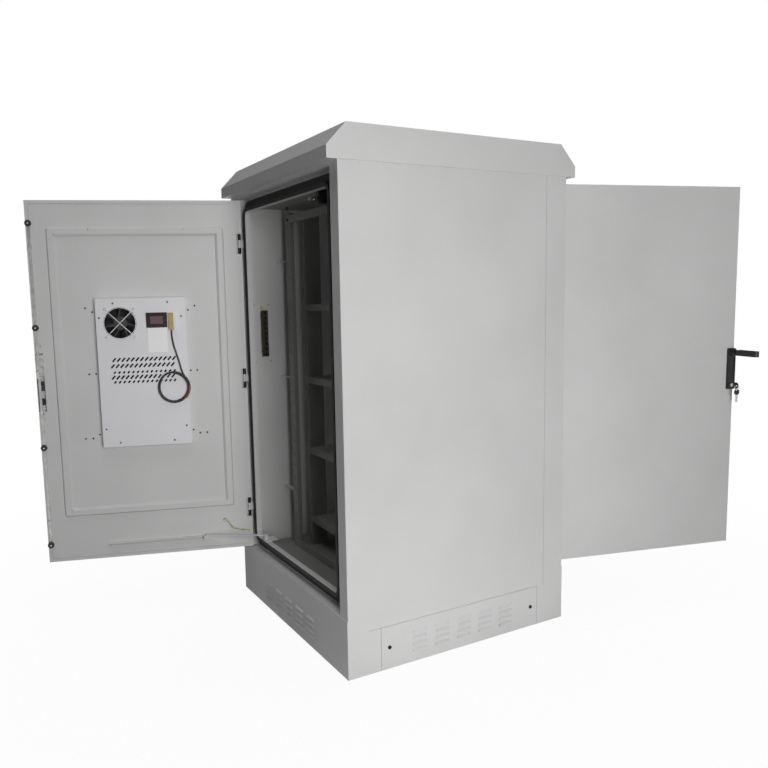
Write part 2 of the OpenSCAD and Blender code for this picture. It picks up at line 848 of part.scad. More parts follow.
// Hub with ears, spindle, cam plate and its two pins
module handle_spindle() {
  ear_t = 4;
  hub_y = base_y - hub_gap - hub_t;
  difference() {
    union() {
      rod_y(lock_x, spindle_z, hub_y, base_y - hub_gap, handle_w - 2);
      rod_y(lock_x, spindle_z, hub_y, cam_y + rod_t, spindle_d);
      for (s = [-1, 1]) {
        x = lock_x + s * (lever_w / 4 + ear_t / 2 + 0.3);
        translate([x, pivot_y, spindle_z]) rotate([0, 90, 0]) cylinder(r = 5, h = ear_t, center = true);
        block([x - ear_t / 2, x + ear_t / 2], [pivot_y, hub_y + 1], [spindle_z - 5, spindle_z + 5]);
      }
      rod_y(lock_x, spindle_z, cam_y, cam_y + rod_t, 2 * (cam_r + pin_r + 1));
      for (a = [0, 180]) rod_y(lock_x + cam_r * cos(a + cam_rest), spindle_z + cam_r * sin(a + cam_rest),
        cam_y, rod_y + rod_t + 1.5, 2 * pin_r);
    }
    translate([lock_x, pivot_y, spindle_z]) rotate([0, 90, 0])
      cylinder(r = 2.5 + play, h = handle_w, center = true);
  }
}

// Lever in its lifted place, straight out from the door
module handle_lever() {
  tip = pivot_y - lever_l;
  tongue = lever_w / 2;
  root = pivot_y - handle_w / 2;
  r = lever_w / 2;
  translate([lock_x, pivot_y, spindle_z]) rotate([0, 90, 0]) {
    cylinder(r = 2.5, h = lever_w - 1, center = true);
    cylinder(r = 4.6, h = tongue, center = true);
  }
  block([lock_x - tongue / 2, lock_x + tongue / 2], [root - 1, pivot_y], [spindle_z - 4.6, spindle_z + 4.6]);
  translate([0, 0, spindle_z - lever_t / 2]) difference() {
    union() {
      block([lock_x - r, lock_x + r], [tip + r, root], [0, lever_t]);
      translate([lock_x, tip + r, 0]) cylinder(r = r, h = lever_t);
    }
    block([lock_x - r + 4, lock_x + r - 4], [tip + r, root - 12], [lever_t - 3, lever_t + 1]);
  }
}

module lock_plug() {
  rod_y(lock_x, plug_z, base_y - 3, pan_y + 9, plug_d);
}

// Key in the plug and a spare one that hangs beside it on the ring
module keys() {
  key_t = 2;
  bow_y = base_y - 3;
  block([lock_x - key_t / 2, lock_x + key_t / 2], [bow_y - 10, bow_y], [plug_z - 4, plug_z + 4]);
  difference() {
    translate([lock_x, bow_y - 19, plug_z]) rotate([0, 90, 0]) cylinder(r = 11, h = key_t, center = true);
    translate([lock_x, bow_y - 23, plug_z]) rotate([0, 90, 0]) cylinder(r = 3, h = key_t + 2, center = true);
  }
  translate([lock_x, bow_y - 23, plug_z - 6]) rotate([90, 0, 0]) rotate_extrude() translate([8, 0])
    circle(r = 0.8);
  translate([lock_x + 0.6, bow_y - 23, plug_z - 22]) {
    difference() {
      rotate([90, 0, 0]) cylinder(r = 10, h = key_t, center = true);
      translate([-0.6, 0, 7]) rotate([90, 0, 0]) cylinder(r = 2.5, h = key_t + 2, center = true);
    }
    block([-3.5, 3.5], [-key_t / 2, key_t / 2], [-34, -8]);
  }
}

// Lock: rods

// Flat rod from the cam to its end, cranked from the pin to the rod line over the flange
module lock_rod(up) {
  s = up ? 1 : -1;
  pin_x = lock_x - s * cam_r * cos(cam_rest);
  pin_z = spindle_z + s * cam_r * sin(-cam_rest);
  far = cam_r * (1 - cos(cam_rest));
  slot_x = pin_x - s * far / 2;
  eye = pin_r + pin_slack + 1.2;
  reach = eye + far / 2;
  rollers = up ? roller_up : roller_down;
  end_z = up ? roller_up[1] + 12 : roller_down[0] - 12;
  neck_h = 8;
  neck_in = 2 * (cam_r + pin_r) + 2;
  neck_near = spindle_z + s * neck_in;
  neck_z = neck_near + s * neck_h;
  slot_d = 2 * (pin_r + pin_slack);
  slab(rod_y, rod_y + rod_t) difference() {
    union() {
      box2(slot_x - reach, slot_x + reach, min(pin_z - s * eye, neck_z), max(pin_z - s * eye, neck_z));
      box2(rod_x - rod_w / 2, rod_x + rod_w / 2, min(neck_near, end_z), max(neck_near, end_z));
      box2(min(slot_x - reach, rod_x - rod_w / 2), max(slot_x + reach, rod_x + rod_w / 2),
        min(neck_near, neck_z), max(neck_near, neck_z));
    }
    translate([slot_x, pin_z]) square([far + slot_d, slot_d], center = true);
  }
  for (z = rollers) {
    rod_y(rod_x, z, rod_y + 1, roller_y + roller_t + 1.2, 6);
    rod_y(rod_x, z, roller_y, roller_y + roller_t, roller_d);
  }
}

// Bridges on the door flange that the rods slide through, and the case under the cam
module rod_guides() {
  side = 0.4;
  wall = 1.5;
  half = rod_w / 2 + side;
  for (z = concat(guide_up, guide_down)) difference() {
    block([rod_x - half - wall, rod_x + half + wall], [rim_y, rod_y + rod_t + side + wall],
      [z - guide_h / 2, z + guide_h / 2]);
    block([rod_x - half, rod_x + half], [rod_y - 0.3, rod_y + rod_t + side], [z - guide_h, z + guide_h]);
  }
  difference() {
    block([lock_x - 12, lock_x + 11.5], [pan_y, cam_y - 1], [spindle_z - 24, spindle_z + 47]);
    rod_y(lock_x, spindle_z, pan_y - 1, cam_y, spindle_d + 2 * play);
  }
}

// Clamp of the handle base inside the pan: square nut plate and the plug collar
module lock_clamp() {
  nut_z = spindle_z - 59;
  block([lock_x - 11, lock_x + 11], [pan_y, pan_y + 11], [nut_z - 16, nut_z + 16]);
  rod_y(lock_x, nut_z, pan_y + 10, pan_y + 13, 9);
  difference() {
    rod_y(lock_x, plug_z, pan_y, pan_y + 5, 24);
    rod_y(lock_x, plug_z, pan_y - 1, pan_y + 6, plug_d + 2 * play);
  }
}

module front_handle_base() { color(black) on_front_door() handle_base(); }
module front_handle_spindle() { color(steel) on_front_door() handle_spindle(); }
module front_handle_lever() { color(black) on_front_door() handle_lever(); }
module front_lock_plug() { color(steel) on_front_door() lock_plug(); }
module front_upper_rod() { color(steel) on_front_door() lock_rod(true); }
module front_lower_rod() { color(steel) on_front_door() lock_rod(false); }
module front_rod_guides() { color(steel) on_front_door() rod_guides(); }
module front_lock_clamp() { color(black) on_front_door() lock_clamp(); }
module rear_handle_base() { color(black) on_rear_door() handle_base(); }
module rear_handle_spindle() { color(steel) on_rear_door() handle_spindle(); }
module rear_handle_lever() { color(black) on_rear_door() handle_lever(); }
module rear_lock_plug() { color(steel) on_rear_door() lock_plug(); }
module rear_keys() { color(steel) on_rear_door() keys(); }
module rear_upper_rod() { color(steel) on_rear_door() lock_rod(true); }
module rear_lower_rod() { color(steel) on_rear_door() lock_rod(false); }
module rear_rod_guides() { color(steel) on_rear_door() rod_guides(); }
module rear_lock_clamp() { color(black) on_rear_door() lock_clamp(); }

// Door stay

// Rail with a slot that holds the slider
module stay_rail() {
  wall = rail_wall;
  color(steel) on_front_door() difference() {
    block(rail_x, [liner_y, liner_y + rail_d], [rail_z - rail_h / 2, rail_z + rail_h / 2]);
    block([rail_x[0] - 1, rail_x[1] + 1], [liner_y + wall, liner_y + rail_d - wall],
      [rail_z - rail_h / 2 + wall, rail_z + rail_h / 2 - wall]);
    block([rail_x[0] - 1, rail_x[1] + 1], [liner_y + wall, liner_y + rail_d + 1],
      [rail_z - rail_slot / 2, rail_z + rail_slot / 2]);
  }
}

// Slider foot in the rail, neck through its slot and the head with the stud
module stay_slider() {
  wall = rail_wall;
  fit = 0.3;
  x = hinge_x + slider_s;
  color(black) on_front_door() {
    block([x - slider_l / 2, x + slider_l / 2], [liner_y + wall + fit, liner_y + rail_d - wall - fit],
      [rail_z - rail_h / 2 + wall + fit, rail_z + rail_h / 2 - wall - fit]);
    block([x - slider_l / 2, x + slider_l / 2], [liner_y + wall + fit, liner_y + rail_d + fit + 1],
      [rail_z - rail_slot / 2 + fit, rail_z + rail_slot / 2 - fit]);
    block([x - slider_l / 2, x + slider_l / 2], [liner_y + rail_d + fit, stud_y + 6],
      [rail_z - rail_h / 2, slider_top]);
  }
}

// Stud of the slider in world coordinates with the door open
function stud_open() =
  let (u = slider_s, n = stud_y - hinge_y, c = cos(front_open), s = sin(front_open))
  [hinge_x + u * c + n * s, hinge_y - u * s + n * c];

// Flat arm between the pivot pin and the stud of the slider
module stay_arm() {
  d = stud_open() - stay_pivot;
  len = norm(d);
  color(steel) translate([stay_pivot[0], stay_pivot[1], arm_z]) rotate(atan2(d[1], d[0])) {
    difference() {
      linear_extrude(arm_t) {
        box2(0, len, -arm_w / 2, arm_w / 2);
        circle(arm_w / 2);
        translate([len, 0]) circle(arm_w / 2);
      }
      translate([0, 0, -1]) cylinder(r = arm_pin_r + play, h = arm_t + 2);
    }
    translate([len, 0, arm_t - eps]) cylinder(r = 5, h = 2);
  }
}

// Cooling unit

// Slanted air slots in five rows, every second row set over by a third of the pitch
module air_slots2() {
  cols = 14;
  for (i = [0 : cols - 1], j = [0 : len(slot_rows) - 1]) {
    across = (i - (cols - 1) / 2 + (j % 2 - 0.5) / 3) * slot_pitch;
    translate([ac_x + across, ac_z + slot_rows[j][0]]) rotate(slot_slant)
      square([slot_l * slot_rows[j][1], slot_h], center = true);
  }
}

// Inner panel: a shallow tray with the fan hole, the air slots and the display window
module ac_inner_panel() {
  x0 = ac_x - ac_w / 2;
  x1 = ac_x + ac_w / 2;
  color("white") on_front_door() {
    slab(ac_y - ac_sheet, ac_y) difference() {
      round2(x0, x1, ac_z, ac_z + ac_h, 4);
      translate(fan_c) circle(d = fan_d);
      air_slots2();
      display2(0.3);
    }
    slab(liner_y, ac_y) difference() {
      round2(x0, x1, ac_z, ac_z + ac_h, 4);
      round2(x0 + ac_sheet, x1 - ac_sheet, ac_z + ac_sheet, ac_z + ac_h - ac_sheet, 3);
    }
  }
}

// Square fan body behind the panel with a motor carried by three arms
module ac_fan_frame() {
  back = ac_y - ac_sheet - fan_depth;
  front = ac_y - ac_sheet;
  color(black) on_front_door() {
    difference() {
      slab(back, front) translate(fan_c) square(fan_frame, center = true);
      rod_y(fan_c[0], fan_c[1], back - 1, front + 1, fan_d + 2);
    }
    rod_y(fan_c[0], fan_c[1], back, back + 12, fan_hub_d - 6);
    rod_y(fan_c[0], fan_c[1], back + 11, back + 30, fan_shaft_d);
    for (a = [90, 210, 330]) translate([fan_c[0], 0, fan_c[1]]) rotate([0, a, 0])
      block([0, fan_d / 2 + 1.5], [back, back + 5], [-3, 3]);
  }
}

// Hub with pitched blades, bored for its shaft
module fan_rotor(d, hub, depth, blades, bore, pitch) {
  root = hub / 2 - 4;
  span = d / 2 - root + 4;
  difference() {
    rotate([90, 0, 0]) cylinder(d = hub, h = depth, center = true);
    rotate([90, 0, 0]) cylinder(d = bore, h = depth + 2, center = true);
  }
  for (i = [0 : blades - 1]) rotate([0, i * 360 / blades, 0]) intersection() {
    translate([root + span / 2, 0, 0]) rotate([pitch, 0, 0]) cube([span, 2, depth * 1.9], center = true);
    rotate([90, 0, 0]) cylinder(d = d, h = depth - 2, center = true);
  }
}

module ac_fan() {
  back = ac_y - ac_sheet - fan_depth;
  color("dimgray") on_front_door() translate([fan_c[0], back + 22, fan_c[1]])
    fan_rotor(fan_d - 4, fan_hub_d, 18, 7, fan_shaft_d + 2 * play, 38);
}

// Wire guard: crossed bars and a rim ring on four feet
module ac_fan_guard() {
  wire = 2.4;
  foot = 4;
  color(steel) on_front_door() translate([fan_c[0], ac_y, fan_c[1]]) {
    translate([0, wire, 0]) rotate([90, 0, 0]) rotate_extrude() translate([fan_d / 2 - 2, 0])
      square(wire, center = true);
    for (a = [45, 135]) rotate([0, a, 0])
      block([-guard_foot_r, guard_foot_r], [wire / 2, wire * 1.5 + 0.4], [-wire / 2, wire / 2]);
    for (a = [45 : 90 : 315]) rotate([0, a, 0])
      block([guard_foot_r - foot, guard_foot_r + foot], [0, wire * 1.5 + 0.4], [-foot, foot]);
  }
}

// Display window seen from the inside, as an outline grown by a margin
module display2(m) {
  box2(display_x[0] - m, display_x[1] + m, display_z[0] - m, display_z[1] + m);
}

module ac_display() {
  color("darkred") on_front_door() {
    slab(ac_y - 14, ac_y + 1.5) display2(0);
    slab(ac_y, ac_y + 1.5) display2(3);
  }
}

// Pluggable terminal block on the panel where the lead ends
module ac_terminal() {
  c = terminal_c;
  color("olivedrab") on_front_door() {
    block([c[0] - 8, c[0] + 8], [ac_y, ac_y + 10], [c[1] - 29, c[1] + 29]);
    block([c[0] - 15, c[0] - 8], [ac_y, ac_y + 8], [c[1] - 24, c[1] + 24]);
  }
}

// Rings of the lead, one at each route point
function ring_points(p, t, n) =
  [for (k = [0 : n - 1]) let (a = 360 * k / n)
    [p[0] + cable_d / 2 * cos(a) * t[1], cable_y + cable_d / 2 * sin(a), p[1] - cable_d / 2 * cos(a) * t[0]]];

function tangent(pts, i) =
  let (a = pts[max(i - 1, 0)], b = pts[min(i + 1, len(pts) - 1)], d = b - a) d / norm(d);

// Tube swept along a route in X and Z
module swept_tube(pts, n) {
  last = len(pts) - 1;
  rings = [for (i = [0 : last]) each ring_points(pts[i], tangent(pts, i), n)];
  walls = [for (i = [0 : last - 1], k = [0 : n - 1])
    let (a = i * n + k, b = i * n + (k + 1) % n) [a, b, b + n, a + n]];
  polyhedron(rings, concat([[for (k = [n - 1 : -1 : 0]) k]], walls, [[for (k = [0 : n - 1]) last * n + k]]));
}

module ac_cable() { color(black) on_front_door() swept_tube(cable_route, 10); }

// Outer form of the coiled end of the lead, flat against the panel
module ac_cable_coil() {
  color(black) on_front_door() translate([coil_c[0], ac_y + coil_tube + 0.3, coil_c[1]]) rotate([90, 0, 0])
    rotate_extrude() translate([coil_r - coil_tube, 0]) circle(coil_tube);
}

// Outer housing of the cooling unit: fan guard, air slots and the partition against the inner air
module ac_housing() {
  x0 = ac_x - ac_w / 2 - ac_margin;
  x1 = ac_x + ac_w / 2 + ac_margin;
  z0 = ac_z - ac_margin;
  z1 = ac_z + ac_h + ac_margin;
  guard = 4;
  ring_pitch = cond_d / 10.5;
  vent_in = 40;
  vent_pitch = 16;
  vent_h = 7;
  brace_h = 30;
  brace_t = 6;
  brace_y = cond_y + cond_motor_y[1] - 1;
  color(paint) on_front_door() {
    slab(cond_y, cond_y + sheet) difference() {
      round2(x0, x1, z0, z1, 10);
      translate(cond_c) circle(d = cond_d);
      for (i = [0 : 9]) translate([0, z0 + vent_in + i * vent_pitch])
        box2(x0 + vent_in, x1 - vent_in, 0, vent_h);
    }
    slab(cond_y, face_y) difference() {
      round2(x0, x1, z0, z1, 10);
      round2(x0 + sheet, x1 - sheet, z0 + sheet, z1 - sheet, 8);
      box2(x0 + vent_in, x1 - vent_in, z0 - 1, z0 + 2 * sheet);
    }
    slab(face_y - sheet, face_y) round2(x0, x1, z0, z1, 10);
    translate([cond_c[0], cond_y + guard / 2, cond_c[1]]) {
      for (i = [1 : 4]) rotate([90, 0, 0]) rotate_extrude() translate([(i + 1 / 3) * ring_pitch, 0])
        square(guard, center = true);
      for (a = [0 : 45 : 315]) rotate([0, a, 0])
        block([ring_pitch + 2, cond_d / 2 + 1], [-guard / 2, guard / 2], [-guard / 2, guard / 2]);
    }
    block([x0 + sheet - eps, x1 - sheet + eps], [brace_y, brace_y + brace_t],
      [cond_c[1] - brace_h / 2, cond_c[1] + brace_h / 2]);
    rod_y(cond_c[0], cond_c[1], cond_y + cond_motor_y[0], cond_y + cond_motor_y[1], cond_motor_d);
    rod_y(cond_c[0], cond_c[1], cond_y + 12, cond_y + cond_motor_y[0] + 1, cond_shaft_d);
  }
}

module condenser_fan() {
  color("dimgray") on_front_door() translate([cond_c[0], cond_y + 24, cond_c[1]])
    fan_rotor(cond_d - 14, cond_motor_d - 2, cond_depth, 5, cond_shaft_d + 2 * play, 34);
}

base_frame();
front_frame();
rear_frame();
left_side_panel();
right_side_panel();
side_liners();
floor_pan();
ceiling_pan();
roof_cap();
end_plinth_covers();
side_plinth_covers();
plinth_screws();
door_gaskets();
rack_uprights();
rack_crossbars();
wall_brackets();
shelves();
earth_bar();
earth_bar_mounts();
switch_body();
switch_lever();
stay_bracket();
frame_hinges();
front_door_skin();
front_door_liner();
front_hinge_leaves();
front_handle_base();
front_handle_spindle();
front_handle_lever();
front_lock_plug();
front_upper_rod();
front_lower_rod();
front_rod_guides();
front_lock_clamp();
stay_rail();
stay_slider();
stay_arm();
ac_housing();
ac_inner_panel();
ac_fan_frame();
ac_fan();
ac_fan_guard();
ac_display();
ac_terminal();
ac_cable();
ac_cable_coil();
condenser_fan();
rear_door_skin();
rear_door_liner();
rear_hinge_leaves();
rear_handle_base();
rear_handle_spindle();
rear_handle_lever();
rear_lock_plug();
rear_keys();
rear_upper_rod();
rear_lower_rod();
rear_rod_guides();
rear_lock_clamp();
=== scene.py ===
"""Roadside utility cabinet: finishes, small fittings, fan lead, earth wire, light and camera."""
import math

import bmesh
import bpy
from mathutils import Matrix, Vector

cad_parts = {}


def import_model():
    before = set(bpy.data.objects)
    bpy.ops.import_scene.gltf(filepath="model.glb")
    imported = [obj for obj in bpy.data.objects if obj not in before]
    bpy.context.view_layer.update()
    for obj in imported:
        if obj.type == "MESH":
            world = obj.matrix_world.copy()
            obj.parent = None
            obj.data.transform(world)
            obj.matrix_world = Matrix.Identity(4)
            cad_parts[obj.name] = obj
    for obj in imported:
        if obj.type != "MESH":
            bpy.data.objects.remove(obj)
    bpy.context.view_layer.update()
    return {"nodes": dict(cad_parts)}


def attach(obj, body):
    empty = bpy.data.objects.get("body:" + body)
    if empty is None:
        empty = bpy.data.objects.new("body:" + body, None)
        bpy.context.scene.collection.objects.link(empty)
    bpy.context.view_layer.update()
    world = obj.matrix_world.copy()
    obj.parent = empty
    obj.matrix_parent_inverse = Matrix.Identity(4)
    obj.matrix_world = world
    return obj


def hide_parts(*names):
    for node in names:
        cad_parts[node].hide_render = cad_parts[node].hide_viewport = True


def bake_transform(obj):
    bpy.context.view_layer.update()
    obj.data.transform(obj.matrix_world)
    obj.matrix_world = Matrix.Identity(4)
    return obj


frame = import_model()
nodes = frame["nodes"]

# Places in millimetres, as in the part's source: Y of the closed door's layers, and the liner of the side walls
RIM_Y, LINER_Y, FACE_Y = -386.0, -387.0, -404.0
AC_Y = LINER_Y + 25.0
STIFF_H = 6.0
RACK_Y = -255.0
LINER_X = 358.0
LOCK_X, PLUG_Z, BOW_Y = 337.5, 737.0, -417.0
TERMINAL_PLUG_X = -109.5
ROLLER_Y, ROLLER_T = -382.6, 6.0
HINGE = Vector((-343.5, -396.5, 0.0))
BARREL_R = 5.5


def door(angle):
    """Swing of the front door about its hinge line."""
    axis = Matrix.Translation(HINGE)
    return axis @ Matrix.Rotation(math.radians(-angle), 4, "Z") @ axis.inverted()


STILL = Matrix.Identity(4)
HALF_TURN = Matrix.Rotation(math.pi, 4, "Z")
FRONT_OPEN, REAR_OPEN = 108.0, 105.0
FRONT = door(FRONT_OPEN)
REAR = HALF_TURN @ door(REAR_OPEN)
ENDS = (("front", FRONT), ("rear", REAR))


def at(where, x, y, z):
    """Point in metres from millimetres on a closed door, or on the cabinet with STILL."""
    return (where @ Vector((x, y, z))) / 1000.0


def along(where, direction):
    """Unit direction on a closed door, turned to the open one."""
    return (where.to_3x3() @ Vector(direction)).normalized()


# Materials

# Noise values between which the colour drifts, swing of the roughness, and strength of the relief
DRIFT_STOPS, GLOSS_SWING, RELIEF = (0.3, 0.7), 0.06, 0.6


def linear(code):
    """sRGB hex to linear RGBA."""
    parts = [int(code[i:i + 2], 16) / 255.0 for i in (0, 2, 4)]
    return [c / 12.92 if c <= 0.04045 else ((c + 0.055) / 1.055) ** 2.4 for c in parts] + [1.0]


def add(tree, kind, settings=None, links=None):
    """New node with its settings (attributes or input values) and its incoming links."""
    node = tree.nodes.new(kind)
    for key, value in (settings or {}).items():
        if isinstance(key, str) and hasattr(node, key):
            setattr(node, key, value)
        else:
            node.inputs[key].default_value = value
    for key, source in (links or {}).items():
        tree.links.new(source, node.inputs[key])
    return node


def new_material(name):
    material = bpy.data.materials.new(name)
    material.use_nodes = True
    material.node_tree.nodes.clear()
    return material, material.node_tree


def finish(tree, shader):
    add(tree, "ShaderNodeOutputMaterial", links={"Surface": shader.outputs[0]})


def grained(name, dark, light, patch, grit, lift, rough, metallic=0.0, stretch=(1, 1, 1)):
    """Surface with slow colour drift over `patch` mm and a fine relief of `grit` mm raised by `lift` mm."""
    material, tree = new_material(name)
    place = add(tree, "ShaderNodeTexCoord")
    scaled = add(tree, "ShaderNodeMapping", {"Scale": stretch}, {"Vector": place.outputs["Object"]})
    drift = add(tree, "ShaderNodeTexNoise", {"Scale": 1000.0 / patch, "Detail": 4.0, "Roughness": 0.55},
                {"Vector": scaled.outputs[0]})
    tint = add(tree, "ShaderNodeValToRGB", links={"Fac": drift.outputs[0]})
    for stop, position, code in zip(tint.color_ramp.elements, DRIFT_STOPS, (dark, light)):
        stop.position, stop.color = position, linear(code)
    gloss = add(tree, "ShaderNodeMapRange", {"To Min": rough - GLOSS_SWING, "To Max": rough + GLOSS_SWING},
                {"Value": drift.outputs[0]})
    fine = add(tree, "ShaderNodeTexNoise", {"Scale": 1000.0 / grit, "Detail": 2.0}, {"Vector": scaled.outputs[0]})
    bump = add(tree, "ShaderNodeBump", {"Strength": RELIEF, "Distance": lift / 1000.0},
               {"Height": fine.outputs[0]})
    shader = add(tree, "ShaderNodeBsdfPrincipled", {"Metallic": metallic},
                 {"Base Color": tint.outputs[0], "Roughness": gloss.outputs[0], "Normal": bump.outputs[0]})
    finish(tree, shader)
    return material


# Polyester powder coat on steel sheet: light grey, satin, with a soft orange-peel relief.
# The peel is about 1.5 mm wide and is drawn at 5 mm so that it shows from a few steps away.
powder_coat = grained("polyester_powder_coat", "cbcbca", "d4d4d3", 420, 5.0, 0.10, 0.46)
# The same coat on the cooling unit's inner panel: whiter and a little glossier.
white_coat = grained("white_polyester_coat", "e2e1e4", "e9e8ea", 300, 4.0, 0.08, 0.40)
# The same coat on the rack, shelves, floor and ceiling, painted a darker grey and a little duller: the darker grey is
# painted shade for the dim inside of the cabinet.
rack_coat_painted_shade = grained("polyester_coat_painted_shade", "868683", "92928f", 300, 4.0, 0.08, 0.52)
# Zinc plating on pressed steel: grey metal with cloudy patches of about 2 cm.
zinc_plate = grained("electroplated_zinc", "9d9d9c", "bcbcba", 18, 2.0, 0.05, 0.40, metallic=1.0)
# Drawn bright steel: lighter and smoother, finely mottled.
bright_steel = grained("drawn_bright_steel", "b9b9b8", "d6d6d4", 9, 1.5, 0.04, 0.27, metallic=1.0)
# Blackened zinc on screws and hinge leaves: near black with a dull metallic sheen.
black_zinc = grained("blackened_zinc", "161616", "242424", 12, 1.5, 0.05, 0.42, metallic=0.6)
# Glass-filled nylon, moulded against a spark-eroded tool: black, matt and finely grained.
black_nylon = grained("moulded_black_nylon", "131314", "1d1d1e", 40, 1.6, 0.06, 0.5)
# The same nylon on fan blades, from a polished tool: glossier, so that each blade catches the light, and a lighter
# grey than the other nylon, which is painted sheen.
blade_nylon_painted_sheen = grained("polished_nylon_painted_sheen", "262627", "343436", 40, 2.0, 0.03, 0.28)
# Foamed EPDM seal: deep black and dull, with open pores. The same black is also laid as painted shade in the rain
# channels and on the cooling unit's housing behind the panel's slots.
black_seal_and_painted_shade = grained("epdm_seal_and_painted_shade", "0e0e0e", "191918", 15, 2.2, 0.25, 0.8)
# Extruded PVC sheath of the fan lead: black with a soft shine.
cable_pvc = grained("extruded_black_pvc", "101012", "18181b", 30, 1.5, 0.03, 0.38)
# Shrink sleeve on the lead's end: brown and softly wrinkled.
brown_sleeve = grained("shrunk_brown_sleeve", "8a5630", "a26a40", 12, 2.0, 0.08, 0.45)
# Bare copper strands: reddish metal, darker where the strands part.
copper = grained("stranded_copper", "9a5a3a", "c98a62", 4, 1.0, 0.06, 0.35, metallic=1.0)
# Milled brass earth bar: dark brown metal with streaks from the cutter; the dark brown is painted shade for the bar's
# dim place on the inner wall.
brass_bar_painted_shade = grained("brass_painted_shade", "3a362a", "585240", 14, 1.2, 0.05, 0.42, metallic=0.8, stretch=(1, 1, 6))
# Nickel plating on the key blades: warm bright metal.
nickel = grained("nickel_plated_brass", "b5b1a9", "cfcbc3", 8, 1.2, 0.03, 0.24, metallic=1.0)
# Polyamide terminal block: ochre with a pale drift.
ochre_nylon = grained("moulded_ochre_nylon", "a58b4c", "bda463", 10, 1.2, 0.05, 0.45)
# Unfilled polyamide of the terminal's plug: off-white, a little glossy.
white_nylon = grained("moulded_white_nylon", "dcd9d2", "e8e6e0", 12, 1.2, 0.03, 0.42)
# Blank film label on the panel: whiter than the coat, dull.
label_film = grained("blank_label_film", "f7f6f7", "fdfcfd", 60, 2.0, 0.03, 0.50)
# Yellow laminate of the blank tag above the earth bar.
yellow_tag = grained("yellow_laminate", "c9b92f", "d8ca47", 20, 1.5, 0.03, 0.4)


# Figure window of the display, in metres on the closed door: its middle and half its size
WINDOW_X, WINDOW_Z = (-0.053, 0.021), (1.0045, 0.013)
# Pitch of the earth wire's stripe, in turns to a ring of its tube, and the stripe's share of the girth
STRIPE_PITCH, STRIPE_SHARE = 0.14, 0.42


def display_material():
    """Smoked acrylic over an unlit figure window: glossy near-black with a dull rose field in its middle."""
    material, tree = new_material("smoked_acrylic_window")
    place = add(tree, "ShaderNodeTexCoord")
    shut = FRONT.inverted()
    flat = add(tree, "ShaderNodeMapping", {"Rotation": shut.to_euler(), "Location": shut.translation / 1000.0},
               {"Vector": place.outputs["Object"]})
    axes = add(tree, "ShaderNodeSeparateXYZ", links={0: flat.outputs[0]})
    inside = None
    for value, (middle, half) in ((axes.outputs["X"], WINDOW_X), (axes.outputs["Z"], WINDOW_Z)):
        test = add(tree, "ShaderNodeMath", {"operation": "COMPARE", 1: middle, 2: half}, {0: value})
        inside = test if inside is None else add(tree, "ShaderNodeMath", {"operation": "MULTIPLY"},
                                                 {0: inside.outputs[0], 1: test.outputs[0]})
    shade = add(tree, "ShaderNodeMix", {"data_type": "RGBA", 6: linear("120d0e"), 7: linear("6d5257")},
                {"Factor": inside.outputs[0]})
    dust = add(tree, "ShaderNodeTexNoise", {"Scale": 300.0}, {"Vector": place.outputs["Object"]})
    rough = add(tree, "ShaderNodeMapRange", {"To Min": 0.12, "To Max": 0.22}, {"Value": dust.outputs[0]})
    shader = add(tree, "ShaderNodeBsdfPrincipled", {"IOR": 1.49},
                 {"Base Color": shade.outputs[2], "Roughness": rough.outputs[0]})
    finish(tree, shader)
    return material


def earth_wire_material():
    """Yellow PVC with a green stripe that winds round it: read from the tube's own UV map."""
    material, tree = new_material("yellow_green_pvc")
    place = add(tree, "ShaderNodeUVMap")
    axes = add(tree, "ShaderNodeSeparateXYZ", links={0: place.outputs[0]})
    climb = add(tree, "ShaderNodeMath", {"operation": "MULTIPLY_ADD", 1: STRIPE_PITCH},
                {0: axes.outputs["Y"], 2: axes.outputs["X"]})
    turn = add(tree, "ShaderNodeMath", {"operation": "FRACT"}, {0: climb.outputs[0]})
    stripe = add(tree, "ShaderNodeMath", {"operation": "LESS_THAN", 1: STRIPE_SHARE}, {0: turn.outputs[0]})
    shade = add(tree, "ShaderNodeMix", {"data_type": "RGBA", 6: linear("d2c95a"), 7: linear("6f9a4c")},
                {"Factor": stripe.outputs[0]})
    shader = add(tree, "ShaderNodeBsdfPrincipled", {"Roughness": 0.4}, {"Base Color": shade.outputs[2]})
    finish(tree, shader)
    return material


smoked_window = display_material()
earth_pvc = earth_wire_material()

FINISH = {
    "plinth_screws": black_zinc, "door_gaskets": black_seal_and_painted_shade, "earth_bar": brass_bar_painted_shade, "earth_bar_mounts": black_zinc,
    "switch_body": black_nylon, "switch_lever": bright_steel, "base_frame": zinc_plate,
    "ac_inner_panel": white_coat, "ac_fan_frame": black_nylon, "ac_fan": blade_nylon_painted_sheen, "condenser_fan": blade_nylon_painted_sheen,
    "ac_fan_guard": bright_steel, "ac_display": smoked_window, "ac_terminal": ochre_nylon, "ac_cable": cable_pvc,
    "ac_cable_coil": cable_pvc, "rear_keys": nickel,
}
# Painted shade: the pieces inside the cabinet take the darker copy of the coat.
for name in ("rack_uprights", "rack_crossbars", "shelves", "floor_pan", "ceiling_pan"):
    FINISH[name] = rack_coat_painted_shade
for end in ("front", "rear"):
    FINISH.update({
        f"{end}_handle_base": black_nylon, f"{end}_handle_lever": black_nylon,
        f"{end}_handle_spindle": black_nylon, f"{end}_lock_plug": bright_steel, f"{end}_lock_clamp": black_nylon,
        f"{end}_rod_guides": zinc_plate, f"{end}_upper_rod": zinc_plate, f"{end}_lower_rod": zinc_plate,
    })


def dress(obj, material):
    obj.data.materials.clear()
    obj.data.materials.append(material)


def redress(name, material, where, test):
    """Second finish on the faces of a node whose middle, in millimetres on the closed door, passes the test."""
    obj = nodes[name]
    obj.data.materials.append(material)
    back = where.inverted() @ Matrix.Scale(1000.0, 4) @ obj.matrix_world
    for face in obj.data.polygons:
        if test(back @ face.center):
            face.material_index = len(obj.data.materials) - 1


